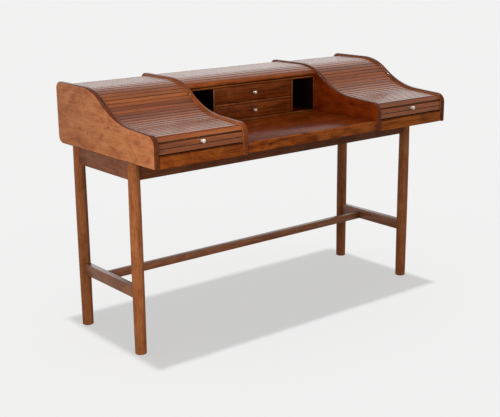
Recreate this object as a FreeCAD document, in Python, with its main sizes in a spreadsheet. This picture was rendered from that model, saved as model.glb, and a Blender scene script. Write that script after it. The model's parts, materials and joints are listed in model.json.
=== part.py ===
import FreeCAD, Part
import Sketcher
import math
import os
import re

# Writing desk with two tambour compartments. Millimetres, +Z up, the front faces -Y, and the origin
# is on the floor below the middle of the case.

V = FreeCAD.Vector
doc = FreeCAD.newDocument("TambourDesk")

# ---------------------------------------------------------------------------------------------
# Driving sizes
# ---------------------------------------------------------------------------------------------

SIZES = [
    ("desk_width", 1450, "over the outer sides"),
    ("desk_depth", 660, "front to back of the sides"),
    ("leg_length", 720, "floor to the underside of the case"),
    ("case_height", 234, "underside of the case to its flat top"),
    ("surface_height", 42, "underside of the case to the writing surface"),
    ("side_thickness", 22, "the four sides"),
    ("bay_width", 355, "clear width of a compartment"),
    # the curved edge of a side, from the back: flat, crown, ramp, hollow, shelf, nose
    ("flat_depth", 192, "flat top, from the back"),
    ("crown_radius", 220, "round shoulder at the front of the flat"),
    ("ramp_angle", 35.5, "steepest slope, in degrees"),
    ("ramp_length", 17, "straight run at that slope"),
    ("hollow_radius", 330, "hollow below the ramp"),
    ("shelf_angle", 3.5, "fall of the shelf towards the front, in degrees"),
    ("nose_radius", 36, "shelf to front"),
    ("heel_radius", 27, "the two back corners of a side"),
    ("arris", 4, "bevelled edges of a side"),
    # the tambour and its track
    ("slat_pitch", 19, "slat to slat on the cloth"),
    ("slat_gap", 0.5, "between two slats laid flat"),
    ("slat_thickness", 8, "cloth to crown"),
    ("slat_crown", 1.8, "rise of the rounded face"),
    ("slat_recess", 7.5, "crown of the slats below the edge of the side"),
    ("slat_end_gap", 0.75, "between a slat and the side"),
    ("tongue_thickness", 5, "flat tongue at each end of a slat"),
    ("tongue_width", 8, "along the groove"),
    ("tongue_length", 7.25, "how far it stands out of the slat"),
    ("groove_play", 1.1, "between tongue and groove, each side"),
    ("groove_depth", 8, "into the side"),
    ("groove_spare", 8, "groove beyond the last tongue when open"),
    ("loop_radius", 45.5, "turns of the groove at the back"),
    ("back_run", 18, "from the back edge of a side to the groove"),
    ("under_run", 23, "from the underside of the case to the groove"),
    ("curtain_lift", 47.5, "underside of the case to the closed tambour"),
    ("curtain_travel", 410, "how far the tambour slides open"),
    # boards of the case
    ("rail_height", 44, "front rails of the compartments"),
    ("rail_thickness", 20, "all front rails"),
    ("rail_recess", 4, "rails behind the front edges of the sides"),
    ("rail_round", 3, "rounded front edges of the rails"),
    ("centre_rail_lift", 4, "centre rail above the underside of the case"),
    ("surface_thickness", 20, "writing surface"),
    ("floor_thickness", 12, "compartment floors"),
    ("dust_thickness", 8, "boards that close the case below"),
    ("back_thickness", 9, "back panel"),
    ("back_top_gap", 30, "flat top down to the back panel"),
    ("screen_thickness", 6, "inner back of a compartment"),
    ("screen_set", 1.5, "inner back behind the centre of the groove's turn"),
    ("screen_top_gap", 21, "flat top down to the inner back"),
    # fixed roof over the writing surface
    ("roof_recess", 4.5, "crown of the fixed slats below the edge of the side"),
    ("roof_thickness", 6, "curved board under the fixed slats"),
    ("roof_wrap", 60, "turn of the roof behind its flat, in degrees"),
    ("roof_reach", 103, "front of the flat top to the front of the roof"),
    ("lip_depth", 18, "front to back of the roof lip"),
    ("lip_height", 8.3, "front face of the roof lip"),
    ("lip_round", 3, "rounded front of the lip"),
    # pigeonholes
    ("unit_set", 4, "pigeonholes behind the roof lip"),
    ("unit_gap", 2.5, "between the pigeonholes and the roof lip"),
    ("unit_board", 8.5, "boards of the pigeonholes"),
    ("upright_spread", 400, "between the middles of the two uprights"),
    ("drawer_shelf_lift", 69, "writing surface to the shelf between the drawers"),
    ("drawer_gap", 1, "around a drawer front"),
    ("drawer_side_gap", 1.5, "around a drawer box"),
    ("drawer_length", 250, "front to back"),
    ("drawer_front_thickness", 14, "drawer fronts"),
    ("drawer_front_set", 1.5, "drawer fronts behind the pigeonhole edges"),
    ("drawer_board", 8, "drawer sides and backs"),
    ("drawer_slide_gap", 0.3, "under a drawer box"),
    ("drawer_box_top_gap", 9, "over a drawer box"),
    ("drawer_bottom", 4, "drawer bottoms"),
    ("drawer_bottom_lift", 4, "below the drawer bottom"),
    # turned brass knobs
    ("curtain_knob", 15, "largest diameter"),
    ("curtain_knob_reach", 18, "seat to the front"),
    ("drawer_knob", 12.5, "largest diameter"),
    ("drawer_knob_reach", 15.5, "seat to the front"),
    ("knob_neck", 6.4, "diameter of the neck"),
    # base
    ("leg_spread", 1380, "between the middles of the left and right legs"),
    ("front_leg_setback", 189, "front of the desk to the middle of a front leg"),
    ("back_leg_setback", 87, "back of the desk to the middle of a back leg"),
    ("leg_top", 42, "diameter under the case"),
    ("leg_middle", 45, "largest diameter"),
    ("leg_foot", 42.5, "diameter at the floor"),
    ("leg_middle_height", 330, "floor to the largest diameter"),
    ("foot_bevel", 2, "bevelled edge at the floor"),
    ("apron_height", 71, "rails under the case"),
    ("apron_thickness", 22, "rails under the case"),
    ("stretcher_lift", 211, "floor to the side stretchers"),
    ("stretcher_height", 45, "side stretchers"),
    ("stretcher_thickness", 22, "side stretchers"),
    ("cross_lift", 212, "floor to the long stretcher"),
    ("cross_height", 30, "long stretcher"),
    ("cross_thickness", 23, "long stretcher"),
    ("cross_setback", 210.5, "back of the desk to the middle of the long stretcher"),
    ("cutter_overrun", 1, "cutting shapes stand this far out of the wood"),
]

sheet = doc.addObject("Spreadsheet::Sheet", "Sizes")
size = {}
for row, (alias, value, meaning) in enumerate(SIZES, 1):
    sheet.set(f"A{row}", alias)
    sheet.set(f"B{row}", str(value))
    sheet.set(f"C{row}", meaning)
    sheet.setAlias(f"B{row}", alias)
    size[alias] = value
doc.recompute()

# Places that several pieces share, as formulas of the sizes.
FRONT = "-desk_depth / 2"
BACK = "desk_depth / 2"
TOP = "leg_length + case_height"
SURFACE = "leg_length + surface_height"
BAY_OUTER = "desk_width / 2 - side_thickness"
BAY_INNER = "desk_width / 2 - side_thickness - bay_width"
CENTRE = "desk_width / 2 - 2 * side_thickness - bay_width"
RAIL_FRONT = "-desk_depth / 2 + rail_recess"
RAIL_BACK = "-desk_depth / 2 + rail_recess + rail_thickness"
BACK_PANEL = "desk_depth / 2 - back_thickness"
SCREEN_BACK = "desk_depth / 2 - back_run - loop_radius + screen_set"
GROOVE_INSET = "slat_recess + slat_thickness / 2"
CROWN_Y = "desk_depth / 2 - flat_depth"
UPRIGHT = "upright_spread / 2"
LEG_X = "leg_spread / 2"
FRONT_LEG_Y = "-desk_depth / 2 + front_leg_setback"
BACK_LEG_Y = "desk_depth / 2 - back_leg_setback"
APRON_BOTTOM = "leg_length - apron_height"

SIDES = {"left": -1, "right": 1}
ALIAS = re.compile(r"\b(" + "|".join(size) + r")\b")


# ---------------------------------------------------------------------------------------------
# Helpers
# ---------------------------------------------------------------------------------------------


def bind(thing, prop, formula):
    """Tie a property to the sheet. The formula names the sizes by their aliases."""
    thing.setExpression(prop, ALIAS.sub(r"Sizes.\1", formula))


def mirrored(sign, near, far):
    """The stretch from near to far of the middle, on the left (-1) or on the right (1)."""
    if sign > 0:
        return near, far
    return f"-({far})", f"-({near})"


def board(name, x, y, z):
    """A plain board. Each of x, y and z is a pair of formulas, low and high."""
    made = doc.addObject("Part::Box", name)
    for prop, axis, (low, high) in (("Length", "x", x), ("Width", "y", y), ("Height", "z", z)):
        bind(made, prop, f"({high}) - ({low})")
        bind(made, f"Placement.Base.{axis}", low)
    return made


def group(name, members):
    """Separate solids that share one node."""
    made = doc.addObject("Part::Compound", name)
    made.Links = members
    return made


def cut(name, base, tool):
    made = doc.addObject("Part::Cut", name)
    made.Base = base
    made.Tool = tool
    return made


def sketch_in(body, role, name, offset="0"):
    """A sketch on one of the body's own origin planes, moved off it along its normal."""
    sketch = body.newObject("Sketcher::SketchObject", name)
    plane = next(f for f in body.Origin.OriginFeatures if f.Role == role)
    sketch.AttachmentSupport = [(plane, "")]
    sketch.MapMode = "FlatFace"
    bind(sketch, "AttachmentOffset.Base.z", offset)
    return sketch


def profile_sketch(name):
    """A free sketch in the YZ plane, for profiles that several pieces share."""
    sketch = doc.addObject("Sketcher::SketchObject", name)
    sketch.Placement = FreeCAD.Placement(V(0, 0, 0), FreeCAD.Rotation(V(1, 1, 1), 120))
    return sketch


def measured(sketch, kind, *where):
    """What a dimension reads on the sketch as it is drawn."""
    if kind == "Radius":
        return sketch.Geometry[where[0]].Radius
    if len(where) == 1:
        line = sketch.Geometry[where[0]]
        along = line.EndPoint - line.StartPoint
        return along.Length if kind == "Distance" else math.atan2(along.y, along.x)
    low, high = (
        V(0, 0, 0) if geometry < 0 else sketch.getPoint(geometry, end)
        for geometry, end in (where[:2], where[2:])
    )
    return high.x - low.x if kind == "DistanceX" else high.y - low.y


def fix(sketch, kind, *where, formula):
    """Add a dimension and tie it to the sheet."""
    value = measured(sketch, kind, *where)
    number = sketch.addConstraint(Sketcher.Constraint(kind, *where, value))
    bind(sketch, f"Constraints[{number}]", formula)


def polygon(sketch, corners):
    """A closed polygon. Each corner is a pair of formulas, measured from the sketch's origin."""
    count = len(corners)
    turn = 2 * math.pi / count
    start = [V(math.cos(turn * n), math.sin(turn * n), 0) * 10 for n in range(count)]
    for n in range(count):
        sketch.addGeometry(Part.LineSegment(start[n], start[(n + 1) % count]))
    for n, (across, up) in enumerate(corners):
        sketch.addConstraint(Sketcher.Constraint("Coincident", n - 1 if n else count - 1, 2, n, 1))
        fix(sketch, "DistanceX", -1, 1, n, 1, formula=across)
        fix(sketch, "DistanceY", -1, 1, n, 1, formula=up)


def pad(body, sketch, length, symmetric=False):
    made = body.newObject("PartDesign::Pad", f"{body.Name}_pad")
    made.Profile = sketch
    made.SideType = "Symmetric" if symmetric else "One side"
    bind(made, "Length", length)
    doc.recompute()
    return made


def revolve(body, sketch):
    made = body.newObject("PartDesign::Revolution", f"{body.Name}_turned")
    made.Profile = sketch
    made.ReferenceAxis = (sketch, ["V_Axis"])
    made.Angle = 360
    doc.recompute()
    return made


def soften(body, feature, chosen, kind, formula):
    """A fillet or chamfer on the edges of the feature for which chosen(edge) is true."""
    names = [f"Edge{n}" for n, edge in enumerate(feature.Shape.Edges, 1) if chosen(edge)]
    made = body.newObject(f"PartDesign::{kind}", f"{body.Name}_{kind.lower()}")
    made.Base = (feature, names)
    bind(made, "Radius" if kind == "Fillet" else "Size", formula)
    doc.recompute()
    return made


def new_body(name):
    return doc.addObject("PartDesign::Body", name)


def place(body, x="0", y="0", z="0"):
    for axis, formula in (("x", x), ("y", y), ("z", z)):
        bind(body, f"Placement.Base.{axis}", formula)


# ---------------------------------------------------------------------------------------------
# The curve of the desk, at any depth inside the edge of a side
# ---------------------------------------------------------------------------------------------


class Run:
    """A smooth run of lines and arcs in the YZ plane, followed from its start."""

    def __init__(self, y, z, heading):
        self.pieces = []
        self.y, self.z, self.heading = y, z, math.radians(heading)

    def line(self, length):
        self.pieces.append((length, 0.0, self.y, self.z, self.heading))
        self.y += length * math.cos(self.heading)
        self.z += length * math.sin(self.heading)

    def arc(self, radius, turn):
        """Turn by so many degrees, to the left where positive."""
        angle = math.radians(turn)
        bend = math.copysign(1 / radius, angle)
        self.pieces.append((abs(angle) * radius, bend, self.y, self.z, self.heading))
        self.y, self.z, self.heading = self.at_piece(self.pieces[-1], abs(angle) * radius)

    @staticmethod
    def at_piece(piece, distance):
        _, bend, y, z, heading = piece
        if not bend:
            return y + distance * math.cos(heading), z + distance * math.sin(heading), heading
        after = heading + bend * distance
        return (
            y + (math.sin(after) - math.sin(heading)) / bend,
            z - (math.cos(after) - math.cos(heading)) / bend,
            after,
        )

    def at(self, distance):
        """Place and heading, in radians, at a distance along the run."""
        for piece in self.pieces:
            if distance <= piece[0] or piece is self.pieces[-1]:
                return self.at_piece(piece, distance)
            distance -= piece[0]

    def length_to(self, count):
        return sum(piece[0] for piece in self.pieces[:count])

    def curves(self):
        """The pieces as lines and arcs in a sketch's own axes."""
        made = []
        for piece in self.pieces:
            (y0, z0, _), (y1, z1, _) = self.at_piece(piece, 0), self.at_piece(piece, piece[0])
            if piece[1]:
                ym, zm, _ = self.at_piece(piece, piece[0] / 2)
                made.append(Part.Arc(V(y0, z0, 0), V(ym, zm, 0), V(y1, z1, 0)))
            else:
                made.append(Part.LineSegment(V(y0, z0, 0), V(y1, z1, 0)))
        return made


def desk_curve(inset, start_z, loop=None, under=0):
    """The run up the front, over the curve and back along the top, so far inside the edge of a
    side. With a loop radius it goes on down the back and forward under the floor."""
    s = size
    ramp, shelf = math.radians(s["ramp_angle"]), math.radians(s["shelf_angle"])
    crown_y = s["desk_depth"] / 2 - s["flat_depth"]
    top = s["leg_length"] + s["case_height"]
    hollow_y = (
        crown_y
        - (s["crown_radius"] + s["hollow_radius"]) * math.sin(ramp)
        - s["ramp_length"] * math.cos(ramp)
    )
    hollow_z = (
        top
        - s["crown_radius"]
        + (s["crown_radius"] + s["hollow_radius"]) * math.cos(ramp)
        - s["ramp_length"] * math.sin(ramp)
    )
    shelf_back = hollow_y + s["hollow_radius"] * math.sin(shelf)
    shelf_back_z = hollow_z - s["hollow_radius"] * math.cos(shelf)
    nose_y = -s["desk_depth"] / 2 + s["nose_radius"]
    shelf_length = (shelf_back - nose_y + s["nose_radius"] * math.sin(shelf)) / math.cos(shelf)
    nose_z = shelf_back_z - shelf_length * math.sin(shelf) - s["nose_radius"] * math.cos(shelf)
    run = Run(-s["desk_depth"] / 2 + inset, start_z, 90)
    run.line(nose_z - start_z)
    run.arc(s["nose_radius"] - inset, s["shelf_angle"] - 90)
    run.line(shelf_length)
    run.arc(s["hollow_radius"] + inset, s["ramp_angle"] - s["shelf_angle"])
    run.line(s["ramp_length"])
    run.arc(s["crown_radius"] - inset, -s["ramp_angle"])
    if loop is None:
        run.line(s["flat_depth"] - s["heel_radius"])
        return run
    # the loop is measured at the groove, so another depth has another radius
    groove_inset = s["slat_recess"] + s["slat_thickness"] / 2
    radius = loop + groove_inset - inset
    run.line(s["flat_depth"] - s["back_run"] - loop)
    run.arc(radius, -90)
    run.line(s["case_height"] - groove_inset - s["under_run"] - 2 * loop)
    run.arc(radius, -90)
    run.line(under)
    return run


NOSE, SHELF, HOLLOW, RAMP, CROWN, FLAT = 1, 2, 3, 4, 5, 6


def draw_run(sketch, run):
    """Add the run's lines and arcs, each tangent to the one before. Returns for each piece which
    of its two ends comes first."""
    first = []
    for number, curve in enumerate(run.curves()):
        sketch.addGeometry(curve)
        piece = run.pieces[number]
        near = sketch.getPoint(number, 1).distanceToPoint(V(piece[2], piece[3], 0))
        far = sketch.getPoint(number, 2).distanceToPoint(V(piece[2], piece[3], 0))
        first.append(1 if near < far else 2)
        if number:
            joint = (number - 1, 3 - first[number - 1], number, first[number])
            sketch.addConstraint(Sketcher.Constraint("Tangent", *joint))
    return first


def fix_curve(sketch, inset):
    """The dimensions that every run along the desk's curve shares."""
    bend = ((NOSE, f"nose_radius - ({inset})"), (HOLLOW, f"hollow_radius + ({inset})"))
    for number, formula in bend + ((CROWN, f"crown_radius - ({inset})"),):
        fix(sketch, "Radius", number, formula=formula)
    fix(sketch, "Angle", SHELF, formula="shelf_angle * 1 deg")
    fix(sketch, "Angle", RAMP, formula="ramp_angle * 1 deg")
    fix(sketch, "Distance", RAMP, formula="ramp_length")
    sketch.addConstraint(Sketcher.Constraint("Vertical", 0))
    fix(sketch, "DistanceX", 0, 1, -1, 1, formula=f"desk_depth / 2 - ({inset})")
    fix(sketch, "DistanceY", -1, 1, FLAT, 1, formula=f"leg_length + case_height - ({inset})")
    fix(sketch, "DistanceX", -1, 1, FLAT, 1, formula="desk_depth / 2 - flat_depth")


# ---------------------------------------------------------------------------------------------
# The four sides, with the tambour's groove in the faces towards the compartments
# ---------------------------------------------------------------------------------------------


def draw_side(sketch):
    """The outline of a side: the desk's curve, the rounded heel and the underside."""
    run = desk_curve(0, size["leg_length"])
    run.arc(size["heel_radius"], -90)
    run.line(size["case_height"] - 2 * size["heel_radius"])
    run.arc(size["heel_radius"], -90)
    run.line(size["desk_depth"] - size["heel_radius"])
    first = draw_run(sketch, run)
    under = len(first) - 1
    sketch.addConstraint(Sketcher.Constraint("Coincident", under, 3 - first[under], 0, first[0]))
    fix_curve(sketch, "0")
    fix(sketch, "DistanceY", -1, 1, 0, 1, formula="leg_length")
    fix(sketch, "DistanceX", -1, 1, 8, 1, formula=BACK)
    for heel in (7, 9):
        fix(sketch, "Radius", heel, formula="heel_radius")
    sketch.addConstraint(Sketcher.Constraint("Horizontal", under))


def last_tongue():
    """How far along the cloth the last slat's middle is when the tambour is open."""
    return (slat_count - 0.5) * size["slat_pitch"] + size["curtain_travel"]


# The cloth is glued to the backs of the slats, so the slats are spaced along the cloth's own line.
cloth = desk_curve(
    size["slat_recess"] + size["slat_thickness"],
    size["leg_length"] + size["curtain_lift"],
    size["loop_radius"],
    size["desk_depth"],
)
# The closed tambour ends half way round the first turn at the back.
slat_count = round((cloth.length_to(7) + cloth.pieces[7][0] / 2) / size["slat_pitch"])
under_length = last_tongue() - cloth.length_to(10) + size["groove_spare"]

groove_line = profile_sketch("groove_line")
groove_run = desk_curve(
    size["slat_recess"] + size["slat_thickness"] / 2,
    size["leg_length"] + size["curtain_lift"],
    size["loop_radius"],
    under_length,
)
draw_run(groove_line, groove_run)
fix_curve(groove_line, GROOVE_INSET)
fix(groove_line, "DistanceY", -1, 1, 0, 1, formula="leg_length + curtain_lift")
for turn in (7, 9):
    fix(groove_line, "Radius", turn, formula="loop_radius")
fix(groove_line, "DistanceX", -1, 1, 8, 1, formula="desk_depth / 2 - back_run")
fix(groove_line, "DistanceY", -1, 1, 10, 1, formula="leg_length + under_run")
groove_line.addConstraint(Sketcher.Constraint("Horizontal", 10))
groove_line.addConstraint(Sketcher.Constraint("Distance", 10, under_length))

groove_slot = doc.addObject("Part::Offset2D", "groove_slot")
groove_slot.Source = groove_line
groove_slot.Mode = "Pipe"
groove_slot.Join = "Arc"
bind(groove_slot, "Value", "tongue_thickness / 2 + groove_play")


def side(name, sign, near, far, groove_at):
    """A side of the case. groove_at is the face that faces its compartment."""
    low, high = mirrored(sign, near, far)
    body = new_body(f"{name}_body")
    outline = sketch_in(body, "YZ_Plane", f"{name}_outline", low)
    draw_side(outline)
    slab = pad(body, outline, f"({high}) - ({low})")
    floor = size["leg_length"] + 0.01
    soften(
        body,
        slab,
        lambda edge: edge.BoundBox.XLength < 0.01 and edge.BoundBox.ZMax > floor,
        "Chamfer",
        "arris",
    )
    groove = doc.addObject("Part::Extrusion", f"{name}_groove")
    groove.Base = groove_slot
    groove.DirMode = "Custom"
    groove.Dir = V(1, 0, 0)
    groove.Solid = True
    # the groove goes from the compartment's face into the wood
    into = 1 if (sign > 0) == (groove_at == BAY_OUTER) else -1
    face = groove_at if sign > 0 else f"-({groove_at})"
    deep, open_end = f"({face}) + {into} * groove_depth", f"({face}) - {into} * cutter_overrun"
    ends = (open_end, deep) if into > 0 else (deep, open_end)
    bind(groove, "LengthFwd", ends[1])
    bind(groove, "LengthRev", f"-({ends[0]})")
    return cut(name if groove_at == BAY_OUTER else f"{name}_grooved", body, groove)


parts = {}
for hand, sign in SIDES.items():
    name = f"{hand}_outer_side"
    parts[name] = side(name, sign, BAY_OUTER, "desk_width / 2", BAY_OUTER)
    name = f"{hand}_inner_side"
    grooved = side(name, sign, CENTRE, BAY_INNER, BAY_INNER)
    # the back panel runs across the inner sides in a notch
    notch = board(
        f"{name}_notch",
        mirrored(sign, f"{CENTRE} - cutter_overrun", f"{BAY_INNER} + cutter_overrun"),
        (BACK_PANEL, f"{BACK} + cutter_overrun"),
        ("leg_length - cutter_overrun", f"{TOP} - back_top_gap"),
    )
    parts[name] = cut(name, grooved, notch)

# ---------------------------------------------------------------------------------------------
# Boards of the case
# ---------------------------------------------------------------------------------------------


def front_rail(name, x, bottom, top):
    """A front rail with its two front edges rounded."""
    body = new_body(name)
    section = sketch_in(body, "YZ_Plane", f"{name}_section", x[0])
    polygon(
        section,
        [(RAIL_FRONT, bottom), (RAIL_BACK, bottom), (RAIL_BACK, top), (RAIL_FRONT, top)],
    )
    rail = pad(body, section, f"({x[1]}) - ({x[0]})")
    face = -size["desk_depth"] / 2 + size["rail_recess"] + 0.01
    soften(
        body,
        rail,
        lambda edge: edge.BoundBox.YMax < face and edge.BoundBox.XLength > 1,
        "Fillet",
        "rail_round",
    )
    return body


parts["centre_front_rail"] = front_rail(
    "centre_front_rail", (f"-({CENTRE})", CENTRE), "leg_length + centre_rail_lift", SURFACE
)
bay_rails, dust_boards, screens = [], [], []
for hand, sign in SIDES.items():
    across = mirrored(sign, BAY_INNER, BAY_OUTER)
    bay_rails.append(front_rail(f"{hand}_bay_rail", across, "leg_length", "leg_length + rail_height"))
    parts[f"{hand}_bay_floor"] = board(
        f"{hand}_bay_floor",
        across,
        (RAIL_BACK, SCREEN_BACK),
        (f"{SURFACE} - floor_thickness", SURFACE),
    )
    dust_boards.append(
        board(
            f"{hand}_dust_board",
            across,
            (RAIL_BACK, BACK_PANEL),
            ("leg_length", "leg_length + dust_thickness"),
        )
    )
    screens.append(
        board(
            f"{hand}_inner_back",
            across,
            (f"{SCREEN_BACK} - screen_thickness", SCREEN_BACK),
            (SURFACE, f"{TOP} - screen_top_gap"),
        )
    )
parts["bay_front_rails"] = group("bay_front_rails", bay_rails)
parts["dust_boards"] = group("dust_boards", dust_boards)
parts["bay_inner_backs"] = group("bay_inner_backs", screens)
parts["writing_surface"] = board(
    "writing_surface",
    (f"-({CENTRE})", CENTRE),
    (RAIL_BACK, BACK_PANEL),
    (f"{SURFACE} - surface_thickness", SURFACE),
)
parts["back_panel"] = board(
    "back_panel",
    (f"-({BAY_OUTER})", BAY_OUTER),
    (BACK_PANEL, BACK),
    ("leg_length + centre_rail_lift", f"{TOP} - back_top_gap"),
)

# ---------------------------------------------------------------------------------------------
# Tambour slats
# ---------------------------------------------------------------------------------------------


def slat(name, length, tongues):
    """One slat: the middle of its back at the origin, its crown towards +Z, its length along X."""
    body = new_body(name)
    section = sketch_in(body, "YZ_Plane", f"{name}_section")
    half = (size["slat_pitch"] - size["slat_gap"]) / 2
    edge = size["slat_thickness"] - size["slat_crown"]
    corners = [V(-half, edge, 0), V(-half, 0, 0), V(half, 0, 0), V(half, edge, 0)]
    for start, end in zip(corners, corners[1:]):
        section.addGeometry(Part.LineSegment(start, end))
    section.addGeometry(Part.Arc(corners[3], V(0, size["slat_thickness"], 0), corners[0]))
    for joint in ((0, 2, 1, 1), (1, 2, 2, 1), (2, 2, 3, 1), (3, 2, 0, 1)):
        section.addConstraint(Sketcher.Constraint("Coincident", *joint))
    section.addConstraint(Sketcher.Constraint("Vertical", 0))
    section.addConstraint(Sketcher.Constraint("Symmetric", 1, 1, 1, 2, -1, 1))
    section.addConstraint(Sketcher.Constraint("Vertical", 2))
    section.addConstraint(Sketcher.Constraint("PointOnObject", 3, 3, -2))
    fix(section, "DistanceX", 1, 1, 1, 2, formula="slat_pitch - slat_gap")
    fix(section, "DistanceY", 0, 2, 0, 1, formula="slat_thickness - slat_crown")
    fix(
        section,
        "Radius",
        3,
        formula="(slat_pitch - slat_gap) ^ 2 / 8 / slat_crown + slat_crown / 2",
    )
    pad(body, section, length, symmetric=True)
    if tongues:
        tongue = sketch_in(body, "YZ_Plane", f"{name}_tongue")
        left, right = "-tongue_width / 2", "tongue_width / 2"
        low = "(slat_thickness - tongue_thickness) / 2"
        high = "(slat_thickness + tongue_thickness) / 2"
        polygon(tongue, [(left, low), (right, low), (right, high), (left, high)])
        pad(body, tongue, f"{length} + 2 * tongue_length", symmetric=True)
    return body


def station(run, distance, x):
    """The placement of a slat whose middle is so far along the run."""
    y, z, heading = run.at(distance)
    return FreeCAD.Placement(V(x, y, z), FreeCAD.Rotation(V(1, 0, 0), math.degrees(heading)))


# How the tambour bends: these slats in turn stay in line as it moves. The nose has one slat at a
# time, and the flat top takes all that are left.
SLAT_GROUPS = [
    ("lead_slats", 2),
    ("nose_slat_lower", 1),
    ("nose_slat_upper", 1),
    ("shelf_slats", 6),
    ("hollow_slats_front", 3),
    ("hollow_slats_middle", 2),
    ("hollow_slats_back", 2),
    ("ramp_slats", 6),
    ("crown_slats_front", 2),
    ("crown_slats_back", 2),
    ("flat_slats", None),
    ("tail_slats", 2),
]
KNOB_SLAT = 1  # the knob sits on this slat, counted from 0 at the front edge
bent_slats = sum(count for _, count in SLAT_GROUPS if count)

moving_slat = slat("moving_slat", "bay_width - 2 * slat_end_gap", tongues=True)
doc.recompute()
for hand, sign in SIDES.items():
    bay_middle = sign * (
        size["desk_width"] / 2 - size["side_thickness"] - size["bay_width"] / 2
    )
    number = 0
    for name, count in SLAT_GROUPS:
        members = []
        for _ in range(count or slat_count - bent_slats):
            copy = moving_slat.Shape.copy()
            copy.Placement = station(cloth, (number + 0.5) * size["slat_pitch"], bay_middle)
            members.extend(copy.Solids)
            number += 1
        made = doc.addObject("Part::Feature", f"{hand}_{name}")
        made.Shape = Part.makeCompound(members)
        parts[f"{hand}_{name}"] = made

# ---------------------------------------------------------------------------------------------
# Fixed roof over the writing surface, made from the same slats on a curved board
# ---------------------------------------------------------------------------------------------

ROOF_INSET = "roof_recess + slat_thickness"
ROOF_TURN = f"loop_radius + {GROOVE_INSET} - ({ROOF_INSET})"
LIP_FRONT = f"{CROWN_Y} - roof_reach"
ROOF_START = f"{CROWN_Y} - roof_reach + lip_depth"

crown_y = size["desk_depth"] / 2 - size["flat_depth"]
roof_start = crown_y - size["roof_reach"] + size["lip_depth"]
roof_inset = size["roof_recess"] + size["slat_thickness"]
roof_radius = size["crown_radius"] - roof_inset
roof_turn = size["loop_radius"] + size["slat_recess"] + size["slat_thickness"] / 2 - roof_inset
lean = math.asin((crown_y - roof_start) / roof_radius)
crown_z = size["leg_length"] + size["case_height"] - size["crown_radius"]
roof_run = Run(roof_start, crown_z + roof_radius * math.cos(lean), math.degrees(lean))
roof_run.arc(roof_radius, -math.degrees(lean))
roof_run.line(size["flat_depth"] - size["back_run"] - size["loop_radius"])
roof_run.arc(roof_turn, -size["roof_wrap"])

roof_line = profile_sketch("roof_line")
roof_first = draw_run(roof_line, roof_run)
roof_line.addConstraint(Sketcher.Constraint("Horizontal", 1))
fix(roof_line, "Radius", 0, formula=f"crown_radius - ({ROOF_INSET})")
fix(roof_line, "Radius", 2, formula=ROOF_TURN)
fix(roof_line, "DistanceY", -1, 1, 1, 1, formula=f"{TOP} - ({ROOF_INSET})")
fix(roof_line, "DistanceX", -1, 1, 1, 1, formula=CROWN_Y)
fix(roof_line, "DistanceX", -1, 1, 1, 2, formula="desk_depth / 2 - back_run - loop_radius")
fix(roof_line, "DistanceX", -1, 1, 0, roof_first[0], formula=ROOF_START)
wrap_end = (2, 3, 2, 3 - roof_first[2])
fix(roof_line, "DistanceX", *wrap_end, formula=f"({ROOF_TURN}) * sin(roof_wrap)")

roof_section = doc.addObject("Part::Offset2D", "roof_section")
roof_section.Source = roof_line
roof_section.Mode = "Skin"
roof_section.Fill = True
bind(roof_section, "Value", "roof_thickness")
roof_board = doc.addObject("Part::Extrusion", "roof_board")
roof_board.Base = roof_section
roof_board.DirMode = "Custom"
roof_board.Dir = V(1, 0, 0)
roof_board.Solid = True
bind(roof_board, "LengthFwd", CENTRE)
bind(roof_board, "LengthRev", CENTRE)
parts["roof_board"] = roof_board

fixed_slat = slat("fixed_slat", f"2 * ({CENTRE})", tongues=False)
doc.recompute()
roof_slats = doc.addObject("Part::Feature", "roof_slats")
members = []
for number in range(int(roof_run.length_to(3) // size["slat_pitch"])):
    copy = fixed_slat.Shape.copy()
    copy.Placement = station(roof_run, (number + 0.5) * size["slat_pitch"], 0)
    members.extend(copy.Solids)
roof_slats.Shape = Part.makeCompound(members)
parts["roof_slats"] = roof_slats


def roof_top(y):
    """Formula of the crown of the roof at a depth that is given as a formula."""
    radius = "(crown_radius - roof_recess)"
    return f"{TOP} - crown_radius + sqrt({radius} ^ 2 - ({CROWN_Y} - ({y})) ^ 2)"


LIP_BOTTOM = f"{roof_top(LIP_FRONT)} - lip_height"
# the back of the lip leans with the flank of the first slat
flank = f"({CROWN_Y} - ({ROOF_START})) / (crown_radius - ({ROOF_INSET}))"
flank_foot = f"{TOP} - crown_radius + (crown_radius - ({ROOF_INSET})) * sqrt(1 - ({flank}) ^ 2)"
flank_top = f"{CROWN_Y} - (crown_radius - roof_recess) * ({flank})"
lip = new_body("roof_lip")
lip_section = sketch_in(lip, "YZ_Plane", "roof_lip_section", f"-({CENTRE})")
polygon(
    lip_section,
    [
        (LIP_FRONT, LIP_BOTTOM),
        (ROOF_START, LIP_BOTTOM),
        (ROOF_START, flank_foot),
        (flank_top, roof_top(flank_top)),
        (LIP_FRONT, roof_top(LIP_FRONT)),
    ],
)
lip_pad = pad(lip, lip_section, f"2 * ({CENTRE})")
lip_face = crown_y - size["roof_reach"] + 0.01
soften(
    lip,
    lip_pad,
    lambda edge: edge.BoundBox.YMax < lip_face and edge.BoundBox.XLength > 1,
    "Fillet",
    "lip_round",
)
parts["roof_lip"] = lip

# ---------------------------------------------------------------------------------------------
# Pigeonholes: a thin-walled unit on the writing surface
# ---------------------------------------------------------------------------------------------

UNIT_FRONT = f"{LIP_FRONT} + unit_set"
UNIT_TOP = f"{LIP_BOTTOM} - unit_gap"
UNIT_DEPTH = (UNIT_FRONT, BACK_PANEL)
UNIT_FLOOR = f"{SURFACE} + unit_board"
UNIT_CEILING = f"{UNIT_TOP} - unit_board"
SHELF_BOTTOM = f"{SURFACE} + drawer_shelf_lift"
SHELF_TOP = f"{SURFACE} + drawer_shelf_lift + unit_board"

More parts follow.
